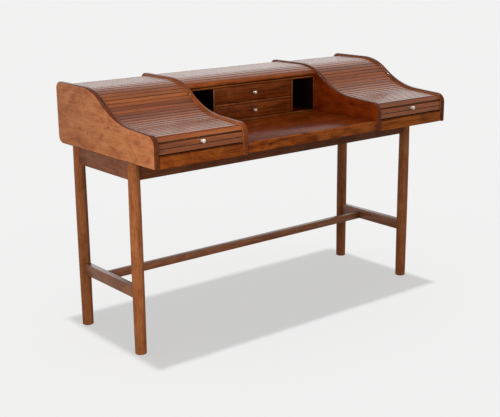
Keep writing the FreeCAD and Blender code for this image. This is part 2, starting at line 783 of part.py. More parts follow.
parts["pigeonhole_floor"] = board(
    "pigeonhole_floor", (f"-({CENTRE})", CENTRE), UNIT_DEPTH, (SURFACE, UNIT_FLOOR)
)
parts["pigeonhole_top"] = board(
    "pigeonhole_top", (f"-({CENTRE})", CENTRE), UNIT_DEPTH, (UNIT_CEILING, UNIT_TOP)
)
uprights = []
for hand, sign in SIDES.items():
    for place_name, low, high in (
        ("upright", f"{UPRIGHT} - unit_board / 2", f"{UPRIGHT} + unit_board / 2"),
        ("end", f"{CENTRE} - unit_board", CENTRE),
    ):
        uprights.append(
            board(
                f"{hand}_pigeonhole_{place_name}",
                mirrored(sign, low, high),
                UNIT_DEPTH,
                (UNIT_FLOOR, UNIT_CEILING),
            )
        )
parts["pigeonhole_uprights"] = group("pigeonhole_uprights", uprights)
DRAWER_HALF = f"{UPRIGHT} - unit_board / 2"
parts["drawer_shelf"] = board(
    "drawer_shelf", (f"-({DRAWER_HALF})", DRAWER_HALF), UNIT_DEPTH, (SHELF_BOTTOM, SHELF_TOP)
)

# ---------------------------------------------------------------------------------------------
# Knobs
# ---------------------------------------------------------------------------------------------


# The outline of a knob's head, from the neck to the front: each corner is its share of the largest
# radius and of the reach.
KNOB_HEAD = [(1.0, 0.5), (1.0, 0.75), (0.66, 1.0)]


def knob(name, width, reach, x, y, z):
    """A turned knob that points to the front."""
    body = new_body(name)
    profile = sketch_in(body, "XZ_Plane", f"{name}_profile")
    neck_top = KNOB_HEAD[0][1]
    polygon(
        profile,
        [("0", "0"), ("knob_neck / 2", "0"), ("knob_neck / 2", f"{neck_top} * {reach}")]
        + [(f"{across} * {width} / 2", f"{along} * {reach}") for across, along in KNOB_HEAD]
        + [("0", reach)],
    )
    revolve(body, profile)
    # it is turned about a standing axis and then laid over to point along -Y
    body.Placement = FreeCAD.Placement(V(0, 0, 0), FreeCAD.Rotation(V(1, 0, 0), 90))
    place(body, x, y, z)
    return body


for hand, sign in SIDES.items():
    near, far = mirrored(sign, BAY_INNER, BAY_OUTER)
    parts[f"{hand}_tambour_knob"] = knob(
        f"{hand}_tambour_knob",
        "curtain_knob",
        "curtain_knob_reach",
        f"(({near}) + ({far})) / 2",
        f"{FRONT} + slat_recess",
        f"leg_length + curtain_lift + {KNOB_SLAT + 0.5} * slat_pitch",
    )

# ---------------------------------------------------------------------------------------------
# Drawers
# ---------------------------------------------------------------------------------------------

DRAWERS = {"lower": (UNIT_FLOOR, SHELF_BOTTOM), "upper": (SHELF_TOP, UNIT_CEILING)}
FACE = f"{UNIT_FRONT} + drawer_front_set"
FACE_BACK = f"{UNIT_FRONT} + drawer_front_set + drawer_front_thickness"
FACE_HALF = f"{DRAWER_HALF} - drawer_gap"
BOX_HALF = f"{DRAWER_HALF} - drawer_side_gap"


for level, (bottom, top) in DRAWERS.items():
    parts[f"{level}_drawer_front"] = board(
        f"{level}_drawer_front",
        (f"-({FACE_HALF})", FACE_HALF),
        (FACE, FACE_BACK),
        (f"{bottom} + drawer_gap", f"{top} - drawer_gap"),
    )
    box_bottom = f"{bottom} + drawer_slide_gap"
    box_top = f"{top} - drawer_box_top_gap"
    box_back = f"{FACE_BACK} + drawer_length"
    inner = f"{BOX_HALF} - drawer_board"
    walls = [
        board(
            f"{level}_drawer_{hand}",
            mirrored(sign, inner, BOX_HALF),
            (FACE_BACK, box_back),
            (box_bottom, box_top),
        )
        for hand, sign in SIDES.items()
    ]
    walls.append(
        board(
            f"{level}_drawer_back",
            (f"-({inner})", inner),
            (f"{box_back} - drawer_board", box_back),
            (box_bottom, box_top),
        )
    )
    walls.append(
        board(
            f"{level}_drawer_bottom",
            (f"-({inner})", inner),
            (FACE_BACK, f"{box_back} - drawer_board"),
            (
                f"{box_bottom} + drawer_bottom_lift",
                f"{box_bottom} + drawer_bottom_lift + drawer_bottom",
            ),
        )
    )
    parts[f"{level}_drawer_box"] = group(f"{level}_drawer_box", walls)
    parts[f"{level}_drawer_knob"] = knob(
        f"{level}_drawer_knob",
        "drawer_knob",
        "drawer_knob_reach",
        "0",
        FACE,
        f"(({bottom}) + ({top})) / 2",
    )

# ---------------------------------------------------------------------------------------------
# Base: four turned legs, rails under the case and an H stretcher
# ---------------------------------------------------------------------------------------------

LEGS = {"front": FRONT_LEG_Y, "back": BACK_LEG_Y}


def turned_leg(name, x, y):
    """A round leg that swells gently between foot and top, turned about a standing axis."""
    body = new_body(name)
    profile = sketch_in(body, "XZ_Plane", f"{name}_profile")
    foot, middle, top = (size[part] / 2 for part in ("leg_foot", "leg_middle", "leg_top"))
    length, belly, bevel = size["leg_length"], size["leg_middle_height"], size["foot_bevel"]
    corners = [V(top, length, 0), V(0, length, 0), V(0, 0, 0), V(foot - bevel, 0, 0), V(foot, bevel, 0)]
    for start, end in zip(corners, corners[1:]):
        profile.addGeometry(Part.LineSegment(start, end))
    swell = len(corners) - 1
    profile.addGeometry(Part.Arc(corners[-1], V(middle, belly, 0), corners[0]))
    first, last = (1, 2) if profile.getPoint(swell, 1).y < length / 2 else (2, 1)
    for number in range(swell - 1):
        profile.addConstraint(Sketcher.Constraint("Coincident", number, 2, number + 1, 1))
    profile.addConstraint(Sketcher.Constraint("Coincident", swell - 1, 2, swell, first))
    profile.addConstraint(Sketcher.Constraint("Coincident", swell, last, 0, 1))
    for number, across, up in (
        (0, "leg_top / 2", "leg_length"),
        (1, "0", "leg_length"),
        (2, "0", "0"),
        (3, "leg_foot / 2 - foot_bevel", "0"),
        (swell, "leg_foot / 2", "foot_bevel"),
    ):
        end = first if number == swell else 1
        fix(profile, "DistanceX", -1, 1, number, end, formula=across)
        fix(profile, "DistanceY", -1, 1, number, end, formula=up)
    # a point on the arc sets its widest place
    profile.addGeometry(Part.Point(V(middle, belly, 0)), True)
    profile.addConstraint(Sketcher.Constraint("PointOnObject", swell + 1, 1, swell))
    fix(profile, "DistanceX", -1, 1, swell + 1, 1, formula="leg_middle / 2")
    fix(profile, "DistanceY", -1, 1, swell + 1, 1, formula="leg_middle_height")
    revolve(body, profile)
    place(body, x, y)
    return body


legs = {}
for hand, sign in SIDES.items():
    for end, y in LEGS.items():
        name = f"{end}_{hand}_leg"
        legs[end, hand] = turned_leg(name, f"{sign} * {LEG_X}", y)
        parts[name] = legs[end, hand]


def coped(name, rail, pair):
    """Cut a rail's ends to the two legs that it runs between."""
    return cut(name, rail, group(f"{name}_legs", pair))


def about(middle, thickness):
    return f"{middle} - {thickness} / 2", f"{middle} + {thickness} / 2"


for end, y in LEGS.items():
    name = f"{end}_apron"
    rail = board(
        f"{name}_rail",
        (f"-({LEG_X})", LEG_X),
        about(y, "apron_thickness"),
        (APRON_BOTTOM, "leg_length"),
    )
    parts[name] = coped(name, rail, [legs[end, hand] for hand in SIDES])

side_rails = {"apron": [], "stretcher": []}
for hand, sign in SIDES.items():
    pair = [legs[end, hand] for end in LEGS]
    for kind, up in (
        ("apron", (APRON_BOTTOM, "leg_length")),
        ("stretcher", ("stretcher_lift", "stretcher_lift + stretcher_height")),
    ):
        name = f"{hand}_side_{kind}"
        rail = board(
            f"{name}_rail",
            mirrored(sign, *about(LEG_X, f"{kind}_thickness")),
            (FRONT_LEG_Y, BACK_LEG_Y),
            up,
        )
        side_rails[kind].append(coped(name, rail, pair))
parts["side_aprons"] = group("side_aprons", side_rails["apron"])
parts["side_stretchers"] = group("side_stretchers", side_rails["stretcher"])

CROSS_END = f"{LEG_X} - stretcher_thickness / 2"
parts["long_stretcher"] = board(
    "long_stretcher",
    (f"-({CROSS_END})", CROSS_END),
    about(f"{BACK} - cross_setback", "cross_thickness"),
    ("cross_lift", "cross_lift + cross_height"),
)

# ---------------------------------------------------------------------------------------------
# Check and write
# ---------------------------------------------------------------------------------------------

doc.recompute()
for thing in doc.Objects:
    assert not {"Invalid", "Error"} & set(thing.State), f"{thing.Name} failed: {thing.State}"
os.makedirs("parts", exist_ok=True)
for name, piece in parts.items():
    piece.Label = name
    shape = piece.Shape
    assert not shape.isNull() and shape.isValid() and shape.Solids, f"{name} has no good shape"
    shape.exportStep(os.path.join("parts", f"{name}.step"))
print(f"{len(parts)} nodes, {sum(len(piece.Shape.Solids) for piece in parts.values())} solids")
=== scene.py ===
# %% [markdown]
# # A writing desk with two tambours
#
# The desk stands on four turned legs. Its case has four S-shaped sides. Between each outer pair runs
# a tambour: narrow slats glued to a canvas, whose ends ride in a groove in the sides. The boards are
# already drawn to size and packed, so this lesson loads them as a fixed frame and gives them what a
# drawing leaves out: eased edges, moulded slats, turned brass, canvas, and the figure of the wood.

# %% Load the frame
import json
import math

import bmesh
import bpy
from mathutils import Matrix, Vector


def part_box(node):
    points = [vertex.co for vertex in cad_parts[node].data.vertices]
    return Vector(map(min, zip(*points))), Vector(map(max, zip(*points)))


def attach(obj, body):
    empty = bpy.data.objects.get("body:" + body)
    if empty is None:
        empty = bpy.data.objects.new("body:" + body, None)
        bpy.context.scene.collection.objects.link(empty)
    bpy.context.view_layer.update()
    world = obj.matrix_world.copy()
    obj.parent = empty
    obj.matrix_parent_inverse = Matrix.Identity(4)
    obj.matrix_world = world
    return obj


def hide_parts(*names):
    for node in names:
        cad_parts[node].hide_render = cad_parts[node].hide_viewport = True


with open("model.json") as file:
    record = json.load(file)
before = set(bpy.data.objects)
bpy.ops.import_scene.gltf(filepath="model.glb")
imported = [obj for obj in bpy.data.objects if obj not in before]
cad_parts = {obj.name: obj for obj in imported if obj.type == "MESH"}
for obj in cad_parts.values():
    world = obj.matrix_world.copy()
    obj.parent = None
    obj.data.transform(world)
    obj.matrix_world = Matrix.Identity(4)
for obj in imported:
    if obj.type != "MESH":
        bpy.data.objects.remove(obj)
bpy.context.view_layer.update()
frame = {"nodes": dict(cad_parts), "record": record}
carried_by = {
    node: body
    for body, nodes in frame["record"]["behaviour"]["bodies"].items()
    for node in nodes
}

# %% [markdown]
# ## Camera
#
# Edges that are parallel on the desk run together in a picture, and where they meet gives the
# direction and the lens of the camera. It stands to the left of the desk, 3.9 m away, half a metre
# above the top of the case, and looks 15 degrees down through a 71 mm lens. A matrix for each turn
# keeps their order plain: roll about the lens, tilt, and then the turn about the vertical.

# %% Camera
LENS_MM, SENSOR_MM = 70.93, 36
HEADING, DOWN, ROLL = -38.703, 14.964, -0.577
STANDPOINT = (-2.46924, -3.00764, 1.43900)
camera_data = bpy.data.cameras.new("camera")
camera_data.sensor_fit = "HORIZONTAL"
camera_data.sensor_width = SENSOR_MM
camera_data.lens = LENS_MM
camera = bpy.data.objects.new("camera", camera_data)
bpy.context.scene.collection.objects.link(camera)
turns = ((HEADING, "Z"), (90 - DOWN, "X"), (ROLL, "Z"))
facing = Matrix.Identity(3)
for degrees, axis in turns:
    facing = facing @ Matrix.Rotation(math.radians(degrees), 3, axis)
camera.rotation_euler = facing.to_euler()
camera.location = STANDPOINT
bpy.context.scene.camera = camera
print("camera at", tuple(camera.location))

# %% [markdown]
# ## Sums of sockets
#
# A shader is arithmetic on patterns. Written with nodes and links one by one, even mask * 2 takes
# four lines. This small class holds one output socket. Its operators add the Math node that does
# the sum, and one method adds any other node. Trees of Geometry Nodes use the same class, because
# their Math node is the same one.


# %% The socket class
class Wire:
    """An output socket in a node tree. Operators on it add Math nodes."""

    def __init__(self, tree, socket=None):
        self.tree = tree
        self.socket = socket

    def node(self, kind, sockets=None, out=0, stops=None, **settings):
        """Any other node: its settings first, then the values or wires of its sockets."""
        made = self.tree.nodes.new(kind)
        for setting, value in settings.items():
            setattr(made, setting, value)
        for number, (place, colour) in enumerate(stops or []):
            steps = made.color_ramp.elements
            step = steps[number] if number < 2 else steps.new(place)
            step.position = place
            step.color = colour
        for key, value in (sockets or {}).items():
            if isinstance(value, Wire):
                self.tree.links.new(value.socket, made.inputs[key])
            else:
                made.inputs[key].default_value = value
        return Wire(self.tree, made.outputs[out] if len(made.outputs) else None)

    def also(self, out):
        """Another output of the same node."""
        return Wire(self.tree, self.socket.node.outputs[out])

    def math(self, operation, first, second=0.0):
        return self.node("ShaderNodeMath", {0: first, 1: second}, operation=operation)

    def __add__(self, other):
        return self.math("ADD", self, other)

    def __radd__(self, other):
        return self.math("ADD", other, self)

    def __sub__(self, other):
        return self.math("SUBTRACT", self, other)

    def __mul__(self, other):
        return self.math("MULTIPLY", self, other)

    def __rmul__(self, other):
        return self.math("MULTIPLY", other, self)

    def __truediv__(self, other):
        return self.math("DIVIDE", self, other)


def mixed(share, first, second, how="MIX"):
    """Two colours, mixed by a share that may change over the surface."""
    sockets = {0: share, 6: first, 7: second}
    return share.node("ShaderNodeMix", sockets, 2, data_type="RGBA", blend_type=how)


def between(wire, low, high, soft="SMOOTHSTEP"):
    """0 below low, 1 above high, and a soft step from one to the other."""
    return wire.node("ShaderNodeMapRange", {0: wire, 1: low, 2: high}, interpolation_type=soft)


def blank(kind, name):
    """A new material or world with an empty tree, and a wire to start from."""
    made = kind.new(name)
    made.use_nodes = True
    made.node_tree.nodes.clear()
    return made, Wire(made.node_tree)


print("sockets can be added and multiplied")

# %% [markdown]
# ## Light and floor
#
# Furniture is photographed in a pale room. A wide lamp stands low on the left and falls off towards
# the right of the desk, a lamp overhead draws one plain shadow under the case, and a soft fill comes
# from the front. A lamp that lights the desk would also streak the floor, so the low lamp and the
# fill leave the floor out: light linking keeps a list of what each lamp doesn't reach. The camera
# sees a pale grey wall, and the varnish sees that wall behind the desk and a dimmer room in front,
# which is set through Light Path. The low lamp and the fill leave no mirror image of themselves,
# because a lamp's image burns out on lacquer. The floor shows that grey too, darkened where the desk
# keeps the overhead light away.

# %% The room
PALE = (0.888, 0.888, 0.888, 1)
ROOM = 0.30

world, bench = blank(bpy.data.worlds, "pale_room")
seen = bench.node("ShaderNodeLightPath", out="Is Camera Ray")
mirrored = seen.also("Is Glossy Ray")
direction = bench.node("ShaderNodeTexCoord", out="Generated")
toward = bench.node("ShaderNodeSeparateXYZ", {0: direction}, "Y")
upward = between(toward.also("Z"), 0.30, 0.75)
forward = between(toward * -1, -0.25, 0.35) * 0.9
dim = upward.math("MAXIMUM", upward, forward) * mirrored
ceiling = mixed(dim, PALE, (0.16, 0.16, 0.16, 1))
around = bench.node("ShaderNodeBackground", {"Color": (1, 0.99, 0.975, 1), "Strength": ROOM})
backdrop = bench.node("ShaderNodeBackground", {"Color": ceiling, "Strength": 1.0})
shows_pale = seen.math("MAXIMUM", seen, mirrored)
room = bench.node("ShaderNodeMixShader", {0: shows_pale, 1: around, 2: backdrop})
bench.node("ShaderNodeOutputWorld", {"Surface": room})
bpy.context.scene.world = world

# %% The floor
OVERHEAD, KEPT = 1.6, 0.56
FAR = 60
floor_material, bench = blank(bpy.data.materials, "pale_floor")
seen = bench.node("ShaderNodeLightPath", out="Is Camera Ray")
paint = [PALE[0] / (ROOM + OVERHEAD / math.pi)] * 3 + [1]
shaded = bench.node("ShaderNodeBsdfDiffuse", {"Color": paint})
even = bench.node("ShaderNodeEmission", {"Color": PALE, "Strength": 1.0})
shown = bench.node("ShaderNodeMixShader", {0: KEPT, 1: shaded, 2: even})
bounce = bench.node("ShaderNodeBsdfDiffuse", {"Color": (0.34, 0.33, 0.32, 1)})
floor_surface = bench.node("ShaderNodeMixShader", {0: seen, 1: bounce, 2: shown})
bench.node("ShaderNodeOutputMaterial", {"Surface": floor_surface})

floor_mesh = bpy.data.meshes.new("floor")
corners = [(-FAR, -FAR, 0), (FAR, -FAR, 0), (FAR, FAR, 0), (-FAR, FAR, 0)]
floor_mesh.from_pydata(corners, [], [(0, 1, 2, 3)])
floor_mesh.materials.append(floor_material)
floor = bpy.data.objects.new("floor", floor_mesh)
bpy.context.scene.collection.objects.link(floor)
print("floor and room")

# %% The lamps
off_the_floor = bpy.data.collections.new("off_the_floor")
off_the_floor.objects.link(floor)
off_the_floor.collection_objects[0].light_linking.link_state = "EXCLUDE"


def lamp(kind, name, towards, energy, spares_floor=True):
    """A lamp that shines from a direction, or from a place for an area lamp."""
    made_lamp = bpy.data.lights.new(name, kind)
    made_lamp.energy = energy
    stand = bpy.data.objects.new(name, made_lamp)
    stand.rotation_euler = Vector(towards).to_track_quat("Z", "Y").to_euler()
    bpy.context.scene.collection.objects.link(stand)
    if spares_floor:
        stand.light_linking.receiver_collection = off_the_floor
    return stand


overhead = lamp("SUN", "lamp_overhead", (0.0, -0.02, 1.0), OVERHEAD, spares_floor=False)
overhead.data.angle = math.radians(3)
fill = lamp("SUN", "fill_front", (0.40, -0.85, 0.35), 1.3)
fill.data.angle = math.radians(60)
fill.visible_glossy = False
LOW_LEFT, CASE_MIDDLE = Vector((-2.35, -1.00, 1.00)), Vector((0, 0, 0.75))
window = lamp("AREA", "window_left", LOW_LEFT - CASE_MIDDLE, 40)
window.location = LOW_LEFT
window.visible_glossy = False
window.data.shape = "RECTANGLE"
window.data.size, window.data.size_y = 1.7, 1.3
bpy.context.scene.view_settings.view_transform = "Standard"
print("three lamps")

# %% [markdown]
# ## Walnut
#
# A board shows where it lay in the log. Growth rings wrap round the heart, and a flat cut through
# them gives lines that run with the grain and open into arches over the heart. Pores are short dark
# dashes along the grain, and fibres turn the light in soft patches. A picture of wood would repeat
# from board to board. Here the rings are a wave round a heart line whose place is given for each
# board, in the desk's own coordinates. Every board is then cut from another part of the log, and
# its end shows the rings of its face.


# %% The wood finish
def wood(name, grain, heart, tones, **touch):
    """Wood whose grain runs along x, y or z past a heart at one point. tones go dark, middle, light.
    With tinted, each slat has its own tone and its own place in the log. One more touch makes a board
    lighter to the right, which is painted light rather than a change in the wood."""
    given = {
        "gloss": 0.36,
        "shine": 0.2,
        "sheen": 0.0,
        "figure": 0.5,
        "streaks": 0.6,
        "lines": 0.5,
        "mottle": 0.25,
        "tinted": 0.0,
        "painted_light_right": 0.0,
        "knots": (),
        **touch,
    }
    material, bench = blank(bpy.data.materials, name)
    dark, middle, light = [(*tone, 1) for tone in tones]
    deep = [part * 0.30 for part in dark[:3]] + [1]
    place = bench.node("ShaderNodeTexCoord", out="Object")
    tint = None
    if given["tinted"]:
        tint = bench.node("ShaderNodeAttribute", out="Fac", attribute_name="tint")
        step = bench.node("ShaderNodeCombineXYZ", {0: tint * 3.7, 1: tint * 0.9, 2: tint * 2.3})
        place = bench.node("ShaderNodeVectorMath", {0: place, 1: step}, operation="ADD")
    slow = [0.06 if axis == grain else 1.0 for axis in "xyz"]
    back = [-at * scale for at, scale in zip(heart, slow)]
    log = bench.node("ShaderNodeMapping", {0: place, 1: back, 3: slow})
    fast = [0.025 if axis == grain else 1.0 for axis in "xyz"]
    fibre_place = bench.node("ShaderNodeMapping", {0: place, 3: fast})

    def cloud(where, scale, detail, swirl=0.0):
        sockets = {"Vector": where, "Scale": scale, "Detail": detail, "Distortion": swirl}
        return bench.node("ShaderNodeTexNoise", sockets)

    rings = bench.node(
        "ShaderNodeTexWave",
        {"Vector": log, "Scale": 26.0, "Distortion": 9.0, "Detail": 3.0, "Detail Scale": 5.0},
        out="Fac",
        wave_type="RINGS",
        rings_direction=grain.upper(),
    )
    fibres = cloud(fibre_place, 420.0, 2.0)
    pores = between(cloud(log, 900.0, 1.0), 0.60, 0.70)
    lazy = [0.45 if axis == grain else 1.0 for axis in "xyz"]
    across = cloud(bench.node("ShaderNodeMapping", {0: place, 3: lazy}), 26.0, 3.0, 0.8)

    # Painted light: the board's middle tone is lifted towards the right.
    if given["painted_light_right"]:
        rightwards = bench.node("ShaderNodeSeparateXYZ", {0: place}, "X")
        middle = mixed(between(rightwards, -0.2, 0.6) * given["painted_light_right"], middle, light)
    colour = mixed(between(cloud(log, 24.0, 4.0), 0.47, 0.70) * given["streaks"], middle, dark)
    colour = mixed(between(rings, 0.45, 0.95) * given["figure"], colour, dark)
    soft_place = log if given["tinted"] else place
    colour = mixed(between(cloud(soft_place, 11.0, 3.0, 0.8), 0.45, 0.75) * 0.6, colour, light)
    colour = mixed(between(across, 0.42, 0.66) * given["mottle"], colour, light)
    colour = mixed(between(across, 0.46, 0.30) * given["mottle"], colour, dark)
    colour = mixed(between(cloud(log, 150.0, 3.0, 0.4), 0.50, 0.72) * given["lines"], colour, deep)
    colour = mixed(fibres * 0.45, colour, dark)
    for y, z, size in given["knots"]:
        spread = bench.node("ShaderNodeSeparateXYZ", {0: place}, "Y") - y
        rise = bench.node("ShaderNodeSeparateXYZ", {0: place}, "Z") - z
        away = (spread * spread * 0.35 + rise * rise) / size**2 + (across - 0.5) * 0.8
        colour = mixed(between(away, 9.0, 0.5) * 0.35, colour, dark)
        colour = mixed(between(away, 1.1, 0.3) * 0.92, colour, deep)
    if tint:
        colour = mixed(between(tint, 0.35, 1.0) * given["tinted"], colour, dark)
        # Painted shade: each slat is darkened towards its shoulders, so the joints between slats read
        # darker.
        joint_shade = bench.node("ShaderNodeAttribute", out="Fac", attribute_name="joint_shade")
        colour = mixed(between(joint_shade, 0.62, 1.0) * 0.85, colour, (0.012, 0.004, 0.002, 1))
    colour = mixed(pores * 0.55, colour, deep)

    rough = given["gloss"] + 0.10 * fibres + 0.12 * pores
    height = fibres * 0.4 - pores
    bump = bench.node("ShaderNodeBump", {"Height": height, "Strength": 0.25, "Distance": 0.0003})
    surface = bench.node(
        "ShaderNodeBsdfPrincipled",
        {
            "Base Color": colour,
            "Roughness": rough,
            "Normal": bump,
            "Specular IOR Level": given["shine"],
            "Coat Weight": given["sheen"],
            "Coat Roughness": 0.12,
        },
    )
    bench.node("ShaderNodeOutputMaterial", {"Surface": surface})
    return material


WARM = ((0.200, 0.050, 0.014), (0.435, 0.140, 0.044), (0.570, 0.225, 0.088))
SHADED_SIDE_TONES = ((0.090, 0.011, 0.0006), (0.225, 0.026, 0.0010), (0.330, 0.052, 0.0030))
RAIL = ((0.085, 0.015, 0.002), (0.285, 0.058, 0.007), (0.425, 0.118, 0.018))
REED = ((0.100, 0.019, 0.002), (0.345, 0.078, 0.009), (0.480, 0.140, 0.022))
DEEP = ((0.062, 0.009, 0.001), (0.165, 0.026, 0.002), (0.250, 0.051, 0.005))
FACE = ((0.068, 0.013, 0.002), (0.192, 0.039, 0.006), (0.280, 0.066, 0.012))
EDGE = ((0.110, 0.023, 0.003), (0.265, 0.066, 0.010), (0.360, 0.108, 0.020))
LEG = ((0.112, 0.030, 0.008), (0.275, 0.089, 0.028), (0.360, 0.134, 0.048))
DULL = ((0.108, 0.034, 0.015), (0.240, 0.082, 0.036), (0.330, 0.132, 0.062))
LIP_DARK = ((0.052, 0.010, 0.001), (0.130, 0.025, 0.003), (0.190, 0.044, 0.007))
LIP_WARM = ((0.095, 0.017, 0.002), (0.250, 0.050, 0.005), (0.340, 0.082, 0.012))
APRON_SHADE_TONES = ((0.062, 0.016, 0.004), (0.155, 0.045, 0.014), (0.215, 0.072, 0.026))
# Tones of painted shade: near black and dark brown, for faces deep in the desk and for painted shadow
# lines.
SHADE_DARK_TONES = ((0.030, 0.003, 0.001), (0.090, 0.010, 0.003), (0.140, 0.019, 0.006))
SHADE_BLACK_TONES = ((0.004, 0.001, 0.001), (0.012, 0.003, 0.001), (0.022, 0.006, 0.002))
PLAIN = ((0.330, 0.200, 0.100), (0.470, 0.310, 0.170), (0.560, 0.400, 0.240))
print("the wood can be cut anywhere in the log")

# %% [markdown]
# ## Boards with eased edges
#
# A cabinet maker takes the sharp edge off every board, because a sharp edge chips and feels harsh.
# The eased edge catches a thin line of light that tells the eye how large the desk is. A bevel
# needs whole faces, but a packed board is a shell of loose triangles. So a copy is welded, its flat
# triangles are joined to faces again, and the edges that turn by more than 30 degrees are bevelled.


# %% Easing a board
SHARP = math.radians(30)


def eased(node, name, wood_used, slot, edge=0.0012, steps=2, second=None, faces=None):
    """A board of the frame with its edges eased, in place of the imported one. The faces that the
    test names are in the second finish."""
    shape = bmesh.new()
    shape.from_mesh(frame["nodes"][node].data)
    bmesh.ops.remove_doubles(shape, verts=shape.verts, dist=2e-6)
    flat = math.radians(0.4)
    bmesh.ops.dissolve_limit(shape, angle_limit=flat, verts=shape.verts, edges=shape.edges)
    turned = [e for e in shape.edges if e.is_manifold and e.calc_face_angle() > SHARP]
    bmesh.ops.bevel(
        shape,
        geom=turned,
        offset=edge,
        segments=steps,
        profile=0.5,
        affect="EDGES",
        clamp_overlap=True,
    )
    for layer in list(shape.loops.layers.uv):
        shape.loops.layers.uv.remove(layer)
    bmesh.ops.recalc_face_normals(shape, faces=shape.faces)
    for face in shape.faces:
        face.material_index = int(bool(second) and faces(face.normal))
    mesh = bpy.data.meshes.new(name)
    shape.to_mesh(mesh)
    shape.free()
    own_normals = mesh.attributes.get("custom_normal")
    if own_normals:
        mesh.attributes.remove(own_normals)
    mesh.materials.append(wood_used)
    if second:
        mesh.materials.append(second)
    return placed(mesh, name, carried_by[node], slot, node)


def placed(mesh, name, body, slot, *stands_for):
    """A finished mesh as a piece of the desk."""
    mesh.shade_smooth()
    mesh.set_sharp_from_angle(angle=math.radians(35))
    piece = bpy.data.objects.new(name, mesh)
    bpy.context.scene.collection.objects.link(piece)
    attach(piece, body)
    if stands_for:
        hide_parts(*stands_for)
    return piece


def heart_near(node, off=(0.03, 0.03, 0.03)):
    """A heart line just outside the middle of a board."""
    low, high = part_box(node)
    return [(a + b) / 2 + shift for a, b, shift in zip(low, high, off)]


# %% [markdown]
# ## Veneer, lipping and painted shade
#
# The sides are veneered, and their cut edge is covered with a lipping of darker wood that is
# lacquered to a higher gloss, which is why the S stands out as a drawn line. Part of the lipping's
# darkness is painted shade, since it goes on every face that doesn't look sideways. The lipping of
# the left inner side is the warmer of two tones. The pigeonholes are painted near black inside, with
# dark brown floors, as painted shade, so that only their front edges show. The same painted shade
# goes on the hidden backs behind the compartments, and painted shadow lines go on the rims of the
# drawer fronts and on the eased top edge of the compartments' rails, under the lowest slat. Lipping
# and painted shade are a second finish on the faces that look a certain way, which the board's
# helper picks by their normals.

# %% The sides
PIN_KNOTS = ((-0.042, 0.828, 0.0030), (0.107, 0.786, 0.0022), (0.157, 0.896, 0.0018))
for number, node in enumerate(
    ("left_outer_side", "left_inner_side", "right_inner_side", "right_outer_side")
):
    # The right inner side gets a darker, redder copy of the side's tones: painted shade, with the red
    # of light bounced between the boards.
    tones = SHADED_SIDE_TONES if node == "right_inner_side" else WARM
    heart = heart_near(node, (0.045, 0.4, -0.05 + 0.03 * number))
    finish = wood(
        f"walnut_{node}",
        "y",
        heart,
        tones,
        figure=0.30,
        streaks=0.35,
        lines=0.22,
        mottle=0.60,
        sheen=0.1 if node == "right_inner_side" else 0.2,
        knots=PIN_KNOTS if node == "left_outer_side" else (),
    )
    # The lipping is darker wood, and part of its darkness is painted shade on every face that doesn't
    # look sideways.
    lip_tones = LIP_WARM if node == "left_inner_side" else LIP_DARK
    lip = wood(f"lipping_{node}", "y", heart, lip_tones, gloss=0.20, shine=0.20, sheen=0.35)
    eased(
        node,
        f"{node}_panel",
        finish,
        "side_wood",
        edge=0.0016,
        steps=3,
        second=lip,
        faces=lambda normal: abs(normal.x) < 0.9,
    )
print("four sides")

# %% Rails and boards of the case
# Finishes of painted shade, near black and dark brown.
painted_black_shade = wood("shade_painted_black", "x", (0.0, 0.3, 0.9), SHADE_BLACK_TONES, gloss=0.55, shine=0.05)
painted_dark_shade = wood("shade_painted_dark", "x", (0.1, 0.3, 0.9), SHADE_DARK_TONES, gloss=0.4, shine=0.1)


def inside(normal):
    """Faces of a pigeonhole board that don't look to the front."""
    return normal.y > -0.9


def rim(normal):
    """The narrow faces round a drawer front."""
    return abs(normal.y) < 0.9


def eased_top(normal):
    """The eased edge along the top of a board, but not the top itself."""
    return 0.3 < normal.z < 0.97


def towards_back(normal):
    """The back and the top of a board."""
    return normal.y > 0.3 or normal.z > 0.3


def front_of_back(normal):
    """The face of the back panel that looks into the desk."""
    return normal.y < -0.9


